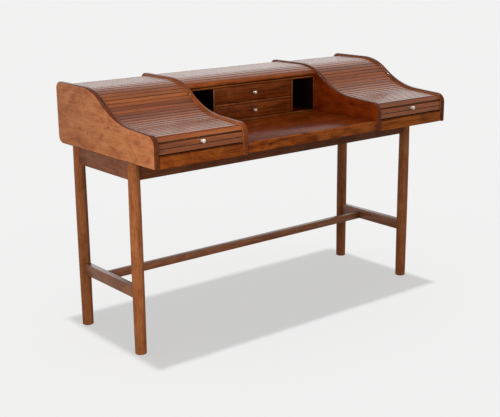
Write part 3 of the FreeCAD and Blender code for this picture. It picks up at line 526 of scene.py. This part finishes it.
boards = {
    "centre_front_rail": (
        "x",
        RAIL,
        (0.2, 0.03, 0.01),
        "board_wood",
        {"streaks": 0.7, "lines": 0.8, "figure": 0.6, "mottle": 0.6},
    ),
    # The compartments' rails are painted lighter to the right: painted light.
    "bay_front_rails": (
        "x",
        RAIL,
        (0.1, 0.05, -0.03),
        "board_wood",
        {"streaks": 0.35, "painted_light_right": 0.9, "lines": 0.6},
    ),
    # The writing surface is darker walnut, and its tones are partly painted shade from the
    # compartments and roof over it.
    "writing_surface": (
        "x",
        DEEP,
        (0.3, 0.02, 0.08),
        "board_wood",
        {"streaks": 0.6, "lines": 0.35, "mottle": 0.1, "gloss": 0.20, "shine": 0.25},
    ),
    # The compartments' floors are in darker tones, partly painted shade seen in the gap under the
    # lowest slat.
    "left_bay_floor": ("x", DULL, (0.1, 0.0, 0.05), "plain_wood", {}),
    "right_bay_floor": ("x", DULL, (0.4, 0.1, 0.05), "plain_wood", {}),
    "dust_boards": ("x", PLAIN, (0.2, 0.0, 0.06), "plain_wood", {}),
    "bay_inner_backs": ("x", PLAIN, (0.2, 0.05, 0.0), "plain_wood", {}),
    "back_panel": ("x", RAIL, (0.1, 0.06, 0.02), "board_wood", {"shine": 0.2}),
    "roof_board": ("x", RAIL, (0.3, 0.0, 0.07), "plain_wood", {}),
    "roof_lip": ("x", RAIL, (0.2, 0.05, 0.03), "board_wood", {}),
    "pigeonhole_top": ("x", EDGE, (0.1, 0.02, 0.04), "pigeonhole_wood", {}),
    "pigeonhole_floor": ("x", EDGE, (0.3, 0.02, 0.04), "pigeonhole_wood", {}),
    "pigeonhole_uprights": ("z", EDGE, (0.02, 0.05, 0.3), "pigeonhole_wood", {}),
    "drawer_shelf": ("x", EDGE, (0.2, 0.03, 0.04), "pigeonhole_wood", {}),
    # The front apron's darker tones are painted shade under the overhang of the case.
    "front_apron": ("x", APRON_SHADE_TONES, (0.2, 0.04, 0.02), "leg_wood", {}),
    "back_apron": ("x", DULL, (0.5, 0.04, 0.02), "leg_wood", {}),
    "side_aprons": ("y", DULL, (0.04, 0.2, 0.02), "leg_wood", {"shine": 0.3}),
    "side_stretchers": ("y", LEG, (0.04, 0.2, 0.02), "leg_wood", {"shine": 0.9, "sheen": 0.9}),
    "long_stretcher": ("x", LEG, (0.2, 0.04, 0.02), "leg_wood", {"shine": 0.6, "sheen": 0.5}),
}
# Faces given painted shade: the insides of the pigeonholes, the eased top of the compartments' rails
# as a painted shadow under the lowest slat, and the backs inside the desk.
PAINTED_SHADE_FACES = {
    "pigeonhole_top": (painted_black_shade, inside),
    "pigeonhole_floor": (painted_dark_shade, inside),
    "pigeonhole_uprights": (painted_black_shade, inside),
    "drawer_shelf": (painted_black_shade, inside),
    "back_panel": (painted_black_shade, front_of_back),
    "bay_front_rails": (painted_black_shade, eased_top),
    "bay_inner_backs": (painted_black_shade, towards_back),
}
for node, (grain, tones, off, slot, touch) in boards.items():
    shine = 0.08 if tones in (DEEP, RAIL) else 0.2
    finish = wood(
        f"walnut_{node}", grain, heart_near(node, off), tones, **{"shine": shine, **touch}
    )
    shade_finish, faces = PAINTED_SHADE_FACES.get(node, (None, None))
    edge = 0.0021 if node in PAINTED_SHADE_FACES else 0.0012
    eased(node, f"{node}_board", finish, slot, edge, 2, shade_finish, faces)
for level in ("upper", "lower"):
    front, box = f"{level}_drawer_front", f"{level}_drawer_box"
    heart = heart_near(front, (0.2, 0.03, 0.02))
    finish = wood(f"walnut_{front}", "x", heart, FACE, shine=0.08, figure=0.7, lines=0.7)
    # The rims of the drawer fronts get the near-black finish: painted shadow lines round each drawer.
    eased(front, f"{front}_board", finish, "drawer_wood", 0.0020, 2, painted_black_shade, rim)
    finish = wood(f"plain_{box}", "y", heart_near(box, (0.06, 0.2, 0.1)), PLAIN, gloss=0.5)
    eased(box, f"{box}_sides", finish, "plain_wood", edge=0.0006)
print(len(boards), "boards and two drawers")

# %% [markdown]
# ## Trees of Geometry Nodes
#
# What repeats is better described than modelled: one slat, and a rule for where each slat goes. A
# tree of Geometry Nodes holds the rule, with its sizes as named inputs, so that one tree serves
# both tambours and the roof. These helpers make a tree with named inputs, and turn what a tree
# makes into a plain mesh.


# %% Helpers for trees
KINDS = {
    int: "NodeSocketInt",
    float: "NodeSocketFloat",
    bpy.types.Material: "NodeSocketMaterial",
}


def recipe(name, sizes):
    """An empty tree with a named input for each size, and a wire from each."""
    tree = bpy.data.node_groups.new(name, "GeometryNodeTree")
    tree.interface.new_socket("Geometry", in_out="INPUT", socket_type="NodeSocketGeometry")
    tree.interface.new_socket("Geometry", in_out="OUTPUT", socket_type="NodeSocketGeometry")
    for title, value in {**sizes, "Wood": bpy.types.Material}.items():
        kind = value if isinstance(value, type) else type(value)
        socket = tree.interface.new_socket(title, in_out="INPUT", socket_type=KINDS[kind])
        if kind is not value:
            socket.default_value = value
    entry = tree.nodes.new("NodeGroupInput")
    return tree, {socket.name: Wire(tree, socket) for socket in entry.outputs if socket.name}


def served(tree, geometry, given):
    """The end of every tree: real geometry, in its material."""
    real = geometry.node("GeometryNodeRealizeInstances", {0: geometry})
    painted = real.node("GeometryNodeSetMaterial", {"Geometry": real, "Material": given["Wood"]})
    painted.node("NodeGroupOutput", {"Geometry": painted})
    return tree


def made(tree, base, sizes, name):
    """The plain mesh that a tree makes from a base mesh and these sizes."""
    carrier = bpy.data.objects.new(name, base)
    bpy.context.scene.collection.objects.link(carrier)
    modifier = carrier.modifiers.new("recipe", "NODES")
    modifier.node_group = tree
    for item in tree.interface.items_tree:
        if item.item_type == "SOCKET" and item.in_out == "INPUT" and item.name in sizes:
            modifier[item.identifier] = sizes[item.name]
    graph = bpy.context.evaluated_depsgraph_get()
    mesh = bpy.data.meshes.new_from_object(
        carrier.evaluated_get(graph), preserve_all_data_layers=True, depsgraph=graph
    )
    bpy.data.objects.remove(carrier)
    return mesh


def line_through(points, name):
    """A mesh of edges through these points."""
    mesh = bpy.data.meshes.new(name)
    mesh.from_pydata(points, [(n, n + 1) for n in range(len(points) - 1)], [])
    return mesh


print("trees have named inputs")

# %% [markdown]
# ## The path of the tambour
#
# A tambour is as good as its path. It rises behind the front rail, turns over the nose, runs back
# along the shelf, sweeps up through the hollow, over the crown and along the flat top, and then
# turns down behind the compartment. It is a chain of straight runs and arcs, each tangent to the
# one before, so it needs only a length or a radius and a turn for each. Points close together on
# that chain make a line that a tree can follow.

# %% The path of the tambour
DEEP_HALF, CASE_TOP, CASE_BOTTOM, CLOSED_Z = 0.330, 0.954, 0.720, 0.7675
CROWN_Y, CROWN_R, HOLLOW_R, NOSE_R = 0.138, 0.220, 0.330, 0.036
RAMP, SHELF, RAMP_RUN = math.radians(35.5), math.radians(3.5), 0.017
LOOP_R, BACK_RUN, UNDER_RUN = 0.0455, 0.018, 0.023
FLAT_RUN = DEEP_HALF - CROWN_Y - BACK_RUN - LOOP_R
ROOF_FRONT, ROOF_TURN = 0.053, math.radians(60)
PITCH = 0.019
# how far inside the edge of a side the groove, the cloth and the backs of the roof's slats lie
GROOVE_IN, CLOTH_IN, ROOF_IN = 0.0115, 0.0155, 0.0125


def chain(y, z, heading, runs, step=0.004):
    """Points along runs of (length or radius, turn). A run with no turn is straight."""
    points = [(0.0, y, z)]
    for size, turn in runs:
        length = abs(turn) * size if turn else size
        count = max(1, round(length / step))
        for _ in range(count):
            bend = turn / count
            chord = 2 * size * math.sin(abs(bend) / 2) if turn else size / count
            heading += bend / 2
            y, z = y + chord * math.cos(heading), z + chord * math.sin(heading)
            heading += bend / 2
            points.append((0.0, y, z))
    return points


def desk_curve(inset, start_z):
    """The runs of the desk's curve, so far inside the edge of a side, round to the back."""
    hollow_y = CROWN_Y - (CROWN_R + HOLLOW_R) * math.sin(RAMP) - RAMP_RUN * math.cos(RAMP)
    hollow_z = (
        CASE_TOP - CROWN_R + (CROWN_R + HOLLOW_R) * math.cos(RAMP) - RAMP_RUN * math.sin(RAMP)
    )
    shelf_y = hollow_y + HOLLOW_R * math.sin(SHELF)
    shelf_z = hollow_z - HOLLOW_R * math.cos(SHELF)
    shelf_run = (shelf_y + DEEP_HALF - NOSE_R + NOSE_R * math.sin(SHELF)) / math.cos(SHELF)
    nose_z = shelf_z - shelf_run * math.sin(SHELF) - NOSE_R * math.cos(SHELF)
    return [
        (nose_z - start_z, 0.0),
        (NOSE_R - inset, SHELF - math.pi / 2),
        (shelf_run, 0.0),
        (HOLLOW_R + inset, RAMP - SHELF),
        (RAMP_RUN, 0.0),
        (CROWN_R - inset, -RAMP),
        (FLAT_RUN, 0.0),
        (LOOP_R + GROOVE_IN - inset, -math.pi / 2),
        (CASE_TOP - CASE_BOTTOM - GROOVE_IN - UNDER_RUN - 2 * LOOP_R, 0.0),
    ]


tambour_runs = desk_curve(CLOTH_IN, CLOSED_Z)
tambour_path = chain(-DEEP_HALF + CLOTH_IN, CLOSED_Z, math.pi / 2, tambour_runs)
roof_r = CROWN_R - ROOF_IN
lean = math.asin((CROWN_Y - ROOF_FRONT) / roof_r)
roof_path = chain(
    ROOF_FRONT,
    CASE_TOP - CROWN_R + roof_r * math.cos(lean),
    lean,
    [(roof_r, -lean), (FLAT_RUN, 0.0), (LOOP_R + GROOVE_IN - ROOF_IN, -ROOF_TURN)],
)
print(len(tambour_path), "points on the tambour's path,", len(roof_path), "on the roof's")

# %% [markdown]
# ## Slats
#
# Each slat is a strip of walnut, crowned on top, with softened shoulders. The dark lines between
# two shoulders are what makes a tambour look like one: a real gap, deepened by shade painted on
# each slat's shoulders. A flat tongue at each end rides in the groove. One slat could be copied by
# an array on a curve, but that bends the slats. The tree below reads the path at the middle of each
# slat, and sets a stiff slat there, turned to the path. A random number goes with each slat for its
# tone, since slats are ripped from several boards. A moulded slat is as wide and as thick as the
# imported one, and only its edges and crown are eased.

# %% The slat tree
slat_tree, size = recipe(
    "slats_on_a_path",
    {
        "First slat": 0,
        "Slats": 2,
        "Pitch": PITCH,
        "Middle": 0.0,
        "Length": 0.3535,
        "Width": 0.0185,
        "Thickness": 0.008,
        "Crown": 0.0011,
        "Shoulder": 0.0024,
        "Tongue length": 0.00725,
        "Tongue width": 0.008,
        "Tongue thickness": 0.005,
        "Shade": 1.0,
        "Seed": 1,
    },
)
start = Wire(slat_tree)
path = start.node("GeometryNodeMeshToCurve", {0: size["Geometry"]})
number = start.node("GeometryNodeInputIndex") + size["First slat"]
along = (number + 0.5) * size["Pitch"]
spot = start.node(
    "GeometryNodeSampleCurve",
    {"Curves": path, "Length": along},
    "Position",
    mode="LENGTH",
    use_all_curves=True,
)
tangent = start.node("ShaderNodeSeparateXYZ", {0: spot.also("Tangent")}, "Y")
angle = start.math("ARCTAN2", tangent.also("Z"), tangent)
spots = start.node("GeometryNodePoints", {"Count": size["Slats"], "Position": spot})
shift = start.node("ShaderNodeCombineXYZ", {"X": size["Middle"]})
spots = start.node("GeometryNodeSetPosition", {"Geometry": spots, "Offset": shift})

section = start.node(
    "GeometryNodeCurvePrimitiveQuadrilateral", {"Width": size["Width"], "Height": size["Thickness"]}
)
section = start.node(
    "GeometryNodeFilletCurve",
    {"Curve": section, "Radius": size["Shoulder"], "Count": 2, "Limit Radius": True},
    mode="POLY",
)
section = start.node("GeometryNodeSubdivideCurve", {"Curve": section, "Cuts": 3})
corner = start.node("ShaderNodeSeparateXYZ", {0: start.node("GeometryNodeInputPosition")}, "X")
top_side = start.math("GREATER_THAN", corner.also("Y"), 0.0)
across = corner * 2 / size["Width"]
drop = start.node("ShaderNodeCombineXYZ", {"Y": size["Crown"] * across * across * top_side * -1})
section = start.node("GeometryNodeSetPosition", {"Geometry": section, "Offset": drop})
# A number that grows towards each shoulder, which the wood turns into painted shade in the joint;
# Shade scales it.
section = start.node(
    "GeometryNodeStoreNamedAttribute",
    {"Geometry": section, "Name": "joint_shade", "Value": across * across * size["Shade"]},
    data_type="FLOAT",
    domain="POINT",
)
half = size["Length"] / 2
rod = start.node(
    "GeometryNodeCurvePrimitiveLine",
    {
        "Start": start.node("ShaderNodeCombineXYZ", {"X": half * -1}),
        "End": start.node("ShaderNodeCombineXYZ", {"X": half}),
    },
)
strip = start.node(
    "GeometryNodeCurveToMesh", {"Curve": rod, "Profile Curve": section, "Fill Caps": True}
)
tongue_size = start.node(
    "ShaderNodeCombineXYZ",
    {
        "X": size["Length"] + 2 * size["Tongue length"],
        "Y": size["Tongue width"],
        "Z": size["Tongue thickness"],
    },
)
tongue = start.node("GeometryNodeMeshCube", {"Size": tongue_size})
both = start.node("GeometryNodeJoinGeometry", {0: strip})
slat_tree.links.new(tongue.socket, both.socket.node.inputs[0])
lift = start.node("ShaderNodeCombineXYZ", {"Z": size["Thickness"] / 2})
one_slat = start.node("GeometryNodeTransform", {"Geometry": both, "Translation": lift})
tilted = start.node("ShaderNodeCombineXYZ", {"X": angle})
turn = start.node("FunctionNodeEulerToRotation", {0: tilted})
slats = start.node(
    "GeometryNodeInstanceOnPoints", {"Points": spots, "Instance": one_slat, "Rotation": turn}
)
shade = start.node(
    "FunctionNodeRandomValue", {"ID": number, "Seed": size["Seed"]}, 1, data_type="FLOAT"
)
slats = start.node(
    "GeometryNodeStoreNamedAttribute",
    {"Geometry": slats, "Name": "tint", "Value": shade},
    data_type="FLOAT",
    domain="INSTANCE",
)
served(slat_tree, slats, size)
print(len(slat_tree.nodes), "nodes in the slat tree")

# %% Slats of the tambours
GROUPS = [
    ("lead_slats", 2),
    ("nose_slat_lower", 1),
    ("nose_slat_upper", 1),
    ("shelf_slats", 6),
    ("hollow_slats_front", 3),
    ("hollow_slats_middle", 2),
    ("hollow_slats_back", 2),
    ("ramp_slats", 6),
    ("crown_slats_front", 2),
    ("crown_slats_back", 2),
    ("flat_slats", 7),
    ("tail_slats", 2),
]
lacquered = {
    "gloss": 0.22,
    "shine": 0.65,
    "sheen": 1.0,
    "figure": 0.25,
    "mottle": 0.05,
    "tinted": 0.32,
}
SLAT_HEART = (0.1, 0.02, 0.86)
# How much of the painted joint shade the nose, flat and roof slats keep.
SOFT_JOINT_SHADE = 0.72
BAY_MIDDLE = 0.5255
TAMBOURS = (("left", -BAY_MIDDLE), ("right", BAY_MIDDLE))
reed_wood = wood("walnut_slats", "x", SLAT_HEART, REED, lines=0.4, **lacquered)
worst = 0.0
for hand, middle in TAMBOURS:
    base = line_through(tambour_path, "tambour_path")
    first = 0
    for group, count in GROUPS:
        node = f"{hand}_{group}"
        sizes = {
            "First slat": first,
            "Slats": count,
            "Middle": middle,
            "Shade": SOFT_JOINT_SHADE if group.startswith(("nose", "flat")) else 1.0,
            "Seed": 7 if hand == "left" else 12,
            "Wood": reed_wood,
        }
        mesh = made(slat_tree, base, sizes, node)
        low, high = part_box(node)
        for axis in range(3):
            values = [v.co[axis] for v in mesh.vertices]
            worst = max(worst, abs(min(values) - low[axis]), abs(max(values) - high[axis]))
        placed(mesh, f"{node}_moulded", carried_by[node], "slat_wood", node)
        first += count
print(f"{first} slats a side, at most {worst * 1000:.2f} mm from the packed ones")

# %% [markdown]
# ## Canvas
#
# The slats are glued to a strong canvas, which is what lets them bend as one. It shows as brown
# threads in the open joints over the nose, and from behind when a tambour is pushed back. Each
# group of slats moves stiffly, so each carries its own length of canvas. The tree cuts that length
# out of the tambour's path and draws it out sideways, and it notes on every point how far along and
# across the cloth it lies. The weave follows those two numbers, so its threads bend with the cloth.
# The cloth ends half way down the last slat, which keeps its end clear of the compartment's floor
# when the tambour is pushed back. The tail's cloth also starts a little way into its first slat: it
# keeps its bend, so its first few millimetres would rise into that floor.

# %% The canvas finish
canvas, bench = blank(bpy.data.materials, "brown_canvas")
run = bench.node("ShaderNodeAttribute", out="Fac", attribute_name="run")
across = bench.node("ShaderNodeAttribute", out="Fac", attribute_name="across")
THREAD = math.tau / 0.0012
warp = bench.math("SINE", run * THREAD)
weft = bench.math("SINE", across * THREAD)
threads = warp * weft * 0.5 + 0.5
worn = bench.node(
    "ShaderNodeTexNoise",
    {"Vector": bench.node("ShaderNodeTexCoord", out="Object"), "Scale": 30.0, "Detail": 3.0},
)
colour = mixed(threads * 0.7, (0.120, 0.046, 0.018, 1), (0.215, 0.086, 0.034, 1))
colour = mixed(between(worn, 0.4, 0.7) * 0.4, colour, (0.160, 0.068, 0.028, 1))
bump = bench.node("ShaderNodeBump", {"Height": threads, "Strength": 0.6, "Distance": 0.0003})
surface = bench.node(
    "ShaderNodeBsdfPrincipled",
    {
        "Base Color": colour,
        "Roughness": 0.85 + 0.1 * threads,
        "Normal": bump,
        "Specular IOR Level": 0.1,
    },
)
bench.node("ShaderNodeOutputMaterial", {"Surface": surface})
print("canvas")

# %% The canvas tree
CANVAS, CLOTH_WIDTH = 0.0006, 0.335
TAIL_CLOTH, CLOTH_END = 34.15 * PITCH, 35.5 * PITCH
cloth_tree, size = recipe(
    "cloth_on_a_path", {"From": 0.0, "To": 2 * PITCH, "Cloth width": CLOTH_WIDTH, "Middle": 0.0}
)
start = Wire(cloth_tree)
path = start.node("GeometryNodeMeshToCurve", {0: size["Geometry"]})
cut = start.node("GeometryNodeTrimCurve", {0: path, 4: size["From"], 5: size["To"]}, mode="LENGTH")
run_here = start.node("GeometryNodeSplineParameter", out="Length")
cut = start.node(
    "GeometryNodeStoreNamedAttribute",
    {"Geometry": cut, "Name": "run", "Value": run_here},
    data_type="FLOAT",
    domain="POINT",
)
edge_line = start.node("GeometryNodeCurveToMesh", {"Curve": cut})
sideways = start.node("ShaderNodeCombineXYZ", {"X": size["Cloth width"]})
cloth = start.node("GeometryNodeExtrudeMesh", {"Mesh": edge_line, "Offset": sideways}, mode="EDGES")
here = start.node("ShaderNodeSeparateXYZ", {0: start.node("GeometryNodeInputPosition")}, "X")
cloth = start.node(
    "GeometryNodeStoreNamedAttribute",
    {"Geometry": cloth, "Name": "across", "Value": here},
    data_type="FLOAT",
    domain="POINT",
)
shift = start.node("ShaderNodeCombineXYZ", {"X": size["Middle"] - size["Cloth width"] / 2})
cloth = start.node("GeometryNodeSetPosition", {"Geometry": cloth, "Offset": shift})
served(cloth_tree, cloth, size)
print(len(cloth_tree.nodes), "nodes in the canvas tree")

# %% Canvas of the tambours
for hand, middle in TAMBOURS:
    base = line_through(tambour_path, "canvas_path")
    first = 0
    for group, count in GROUPS:
        node = f"{hand}_{group}"
        start_at, end_at = first * PITCH, min((first + count) * PITCH, CLOTH_END)
        if group == "tail_slats":
            start_at = TAIL_CLOTH
        sizes = {"From": start_at, "To": end_at, "Middle": middle, "Wood": canvas}
        mesh = made(cloth_tree, base, sizes, f"{node}_canvas")
        piece = placed(mesh, f"{node}_canvas", carried_by[node], "slat_wood")
        thick = piece.modifiers.new("thickness", "SOLIDIFY")
        thick.thickness = CANVAS
        thick.offset = -1.0
        first += count
print("canvas on both tambours")

# %% Slats of the roof
polished = {**lacquered, "shine": 1.0, "gloss": 0.16, "tinted": 0.15}
roof_wood = wood("walnut_roof_slats", "x", SLAT_HEART, REED, lines=0.2, **polished)
low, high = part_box("roof_slats")
roof_length = sum(math.dist(a, b) for a, b in zip(roof_path, roof_path[1:]))
# a roof slat has no tongue, so the tree's own is drawn back inside the slat
NO_TONGUE = -0.01
sizes = {
    "Slats": int(roof_length / PITCH),
    "Length": high.x - low.x,
    "Tongue length": NO_TONGUE,
    "Shade": SOFT_JOINT_SHADE,
    "Seed": 3,
    "Wood": roof_wood,
}
mesh = made(slat_tree, line_through(roof_path, "roof_path"), sizes, "roof_slats")
placed(mesh, "roof_slats_moulded", "case", "slat_wood", "roof_slats")
print(sizes["Slats"], "slats on the roof")

# %% [markdown]
# ## Turned legs
#
# A leg is turned on a lathe: a round section that swells slowly, 42.5 mm across at the foot, 45 mm
# just under half way up, 42 mm under the case. That is a rule again, so a tree makes it: a
# line of points up the leg, a radius for each height, and a circle swept along it. A curve through
# three radii is one quadratic, whose numbers are worked out in Python.

# %% The leg tree
FOOT_R, BELLY_R, TOP_R, BELLY_Z, LEG_HEIGHT = 0.02125, 0.0225, 0.021, 0.33, 0.72
leg_tree, size = recipe(
    "turned_leg",
    {
        "Height": LEG_HEIGHT,
        "Square": 0.0,
        "Linear": 0.0,
        "Foot": FOOT_R,
        "Bevel": 0.002,
        "X": 0.0,
        "Y": 0.0,
    },
)
start = Wire(leg_tree)
leg_top = start.node("ShaderNodeCombineXYZ", {"Z": size["Height"]})
stem = start.node("GeometryNodeCurvePrimitiveLine", {"Start": (0, 0, 0), "End": leg_top})
rings_up = {"Curve": stem, "Count": 361}
stem = start.node("GeometryNodeResampleCurve", rings_up, keep_last_segment=True)
up = start.node("ShaderNodeSeparateXYZ", {0: start.node("GeometryNodeInputPosition")}, "Z")
radius = size["Foot"] + up * size["Linear"] + up * up * size["Square"]
foot_turn = start.math("MAXIMUM", size["Bevel"] - up, 0.0)
radius = radius - foot_turn
stem = start.node("GeometryNodeSetCurveRadius", {"Curve": stem, "Radius": radius})
ring = start.node("GeometryNodeCurvePrimitiveCircle", {"Resolution": 56, "Radius": 1.0})
turned = start.node(
    "GeometryNodeCurveToMesh",
    {"Curve": stem, "Profile Curve": ring, "Scale": radius, "Fill Caps": True},
)
move = start.node("ShaderNodeCombineXYZ", {"X": size["X"], "Y": size["Y"]})
turned = start.node("GeometryNodeTransform", {"Geometry": turned, "Translation": move})
served(leg_tree, turned, size)

# %% The four legs
# Painted light and shade: each leg's tones are scaled by its own factor, lightest for the front left
# leg nearest the low lamp.
LEG_LIGHT_AND_SHADE = {"front_left_leg": 1.32, "back_left_leg": 1.02, "front_right_leg": 1.1, "back_right_leg": 0.95}
to_top, to_belly = (TOP_R - FOOT_R) / LEG_HEIGHT, (BELLY_R - FOOT_R) / BELLY_Z
square = (to_top - to_belly) / (LEG_HEIGHT - BELLY_Z)
linear = to_belly - square * BELLY_Z
for end in ("front", "back"):
    for hand in ("left", "right"):
        node = f"{end}_{hand}_leg"
        low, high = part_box(node)
        x, y = (low.x + high.x) / 2, (low.y + high.y) / 2
        heart = (x + 0.02 + 0.01 * (end == "back"), y + 0.03, 0.4)
        tones = [[part * LEG_LIGHT_AND_SHADE[node] for part in tone] for tone in LEG]
        finish = wood(f"walnut_{node}", "z", heart, tones, figure=0.4, streaks=0.45, lines=0.55)
        sizes = {"Square": square, "Linear": linear, "X": x, "Y": y, "Wood": finish}
        mesh = made(leg_tree, bpy.data.meshes.new(node), sizes, node)
        placed(mesh, f"{node}_turned", "case", "leg_wood", node)
print("four legs")

# %% [markdown]
# ## Brass knobs
#
# The knobs are turned brass: a small foot, a thin neck and a domed head that fits two fingers. The
# outline is drawn once as radius and height, and spun about its own axis, which is how the lathe
# made it. Satin brass under lacquer looks paler than bare metal, because the lacquer scatters some
# light before it reaches the brass, so the finish is only partly metallic.

# %% The brass finish
brass, bench = blank(bpy.data.materials, "turned_brass")
place = bench.node("ShaderNodeTexCoord", out="Object")
haze = bench.node("ShaderNodeTexNoise", {"Vector": place, "Scale": 260.0, "Detail": 3.0})
fine = bench.node("ShaderNodeTexNoise", {"Vector": place, "Scale": 2400.0, "Detail": 1.0})
colour = mixed(between(haze, 0.40, 0.70), (1.0, 0.97, 0.85, 1), (0.97, 0.89, 0.70, 1))
bump = bench.node("ShaderNodeBump", {"Height": fine, "Strength": 0.1, "Distance": 0.0001})
metal = bench.node(
    "ShaderNodeBsdfPrincipled",
    {
        "Base Color": colour,
        "Metallic": 0.6,
        "Roughness": 0.32 + 0.12 * between(haze, 0.35, 0.7),
        "Normal": bump,
    },
)
bench.node("ShaderNodeOutputMaterial", {"Surface": metal})


# %% Turning a knob
NECK = 0.0032


def knob(node, width, reach):
    """A knob spun about its axis, from its seat out to the front. Its outline is a list of radii,
    each with its share of the reach."""
    low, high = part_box(node)
    x, z, seat = (low.x + high.x) / 2, (low.z + high.z) / 2, high.y
    wide, neck = width / 2, NECK
    outline = [(0, 0), (neck * 1.5, 0), (neck * 1.5, 0.05), (neck * 1.05, 0.10), (neck, 0.18)]
    outline += [(neck, 0.30), (neck * 1.3, 0.42), (wide * 0.86, 0.52), (wide * 0.98, 0.60)]
    outline += [(wide, 0.68), (wide * 0.95, 0.78), (wide * 0.78, 0.89), (wide * 0.5, 0.97)]
    outline += [(wide * 0.2, 0.995), (0, 1.0)]
    shape = bmesh.new()
    points = [shape.verts.new((x + r, seat - a * reach, z)) for r, a in outline]
    edges = [shape.edges.new(pair) for pair in zip(points, points[1:])]
    bmesh.ops.spin(
        shape,
        geom=points + edges,
        cent=(x, 0, z),
        axis=(0, 1, 0),
        angle=math.tau,
        steps=40,
        use_merge=True,
    )
    bmesh.ops.remove_doubles(shape, verts=shape.verts, dist=1e-6)
    bmesh.ops.recalc_face_normals(shape, faces=shape.faces)
    mesh = bpy.data.meshes.new(node)
    shape.to_mesh(mesh)
    shape.free()
    mesh.materials.append(brass)
    return placed(mesh, f"{node}_turned", carried_by[node], "brass", node)


for node, width, reach in (
    ("left_tambour_knob", 0.015, 0.018),
    ("right_tambour_knob", 0.015, 0.018),
    ("upper_drawer_knob", 0.0125, 0.0155),
    ("lower_drawer_knob", 0.0125, 0.0155),
):
    knob(node, width, reach)
print("four knobs")
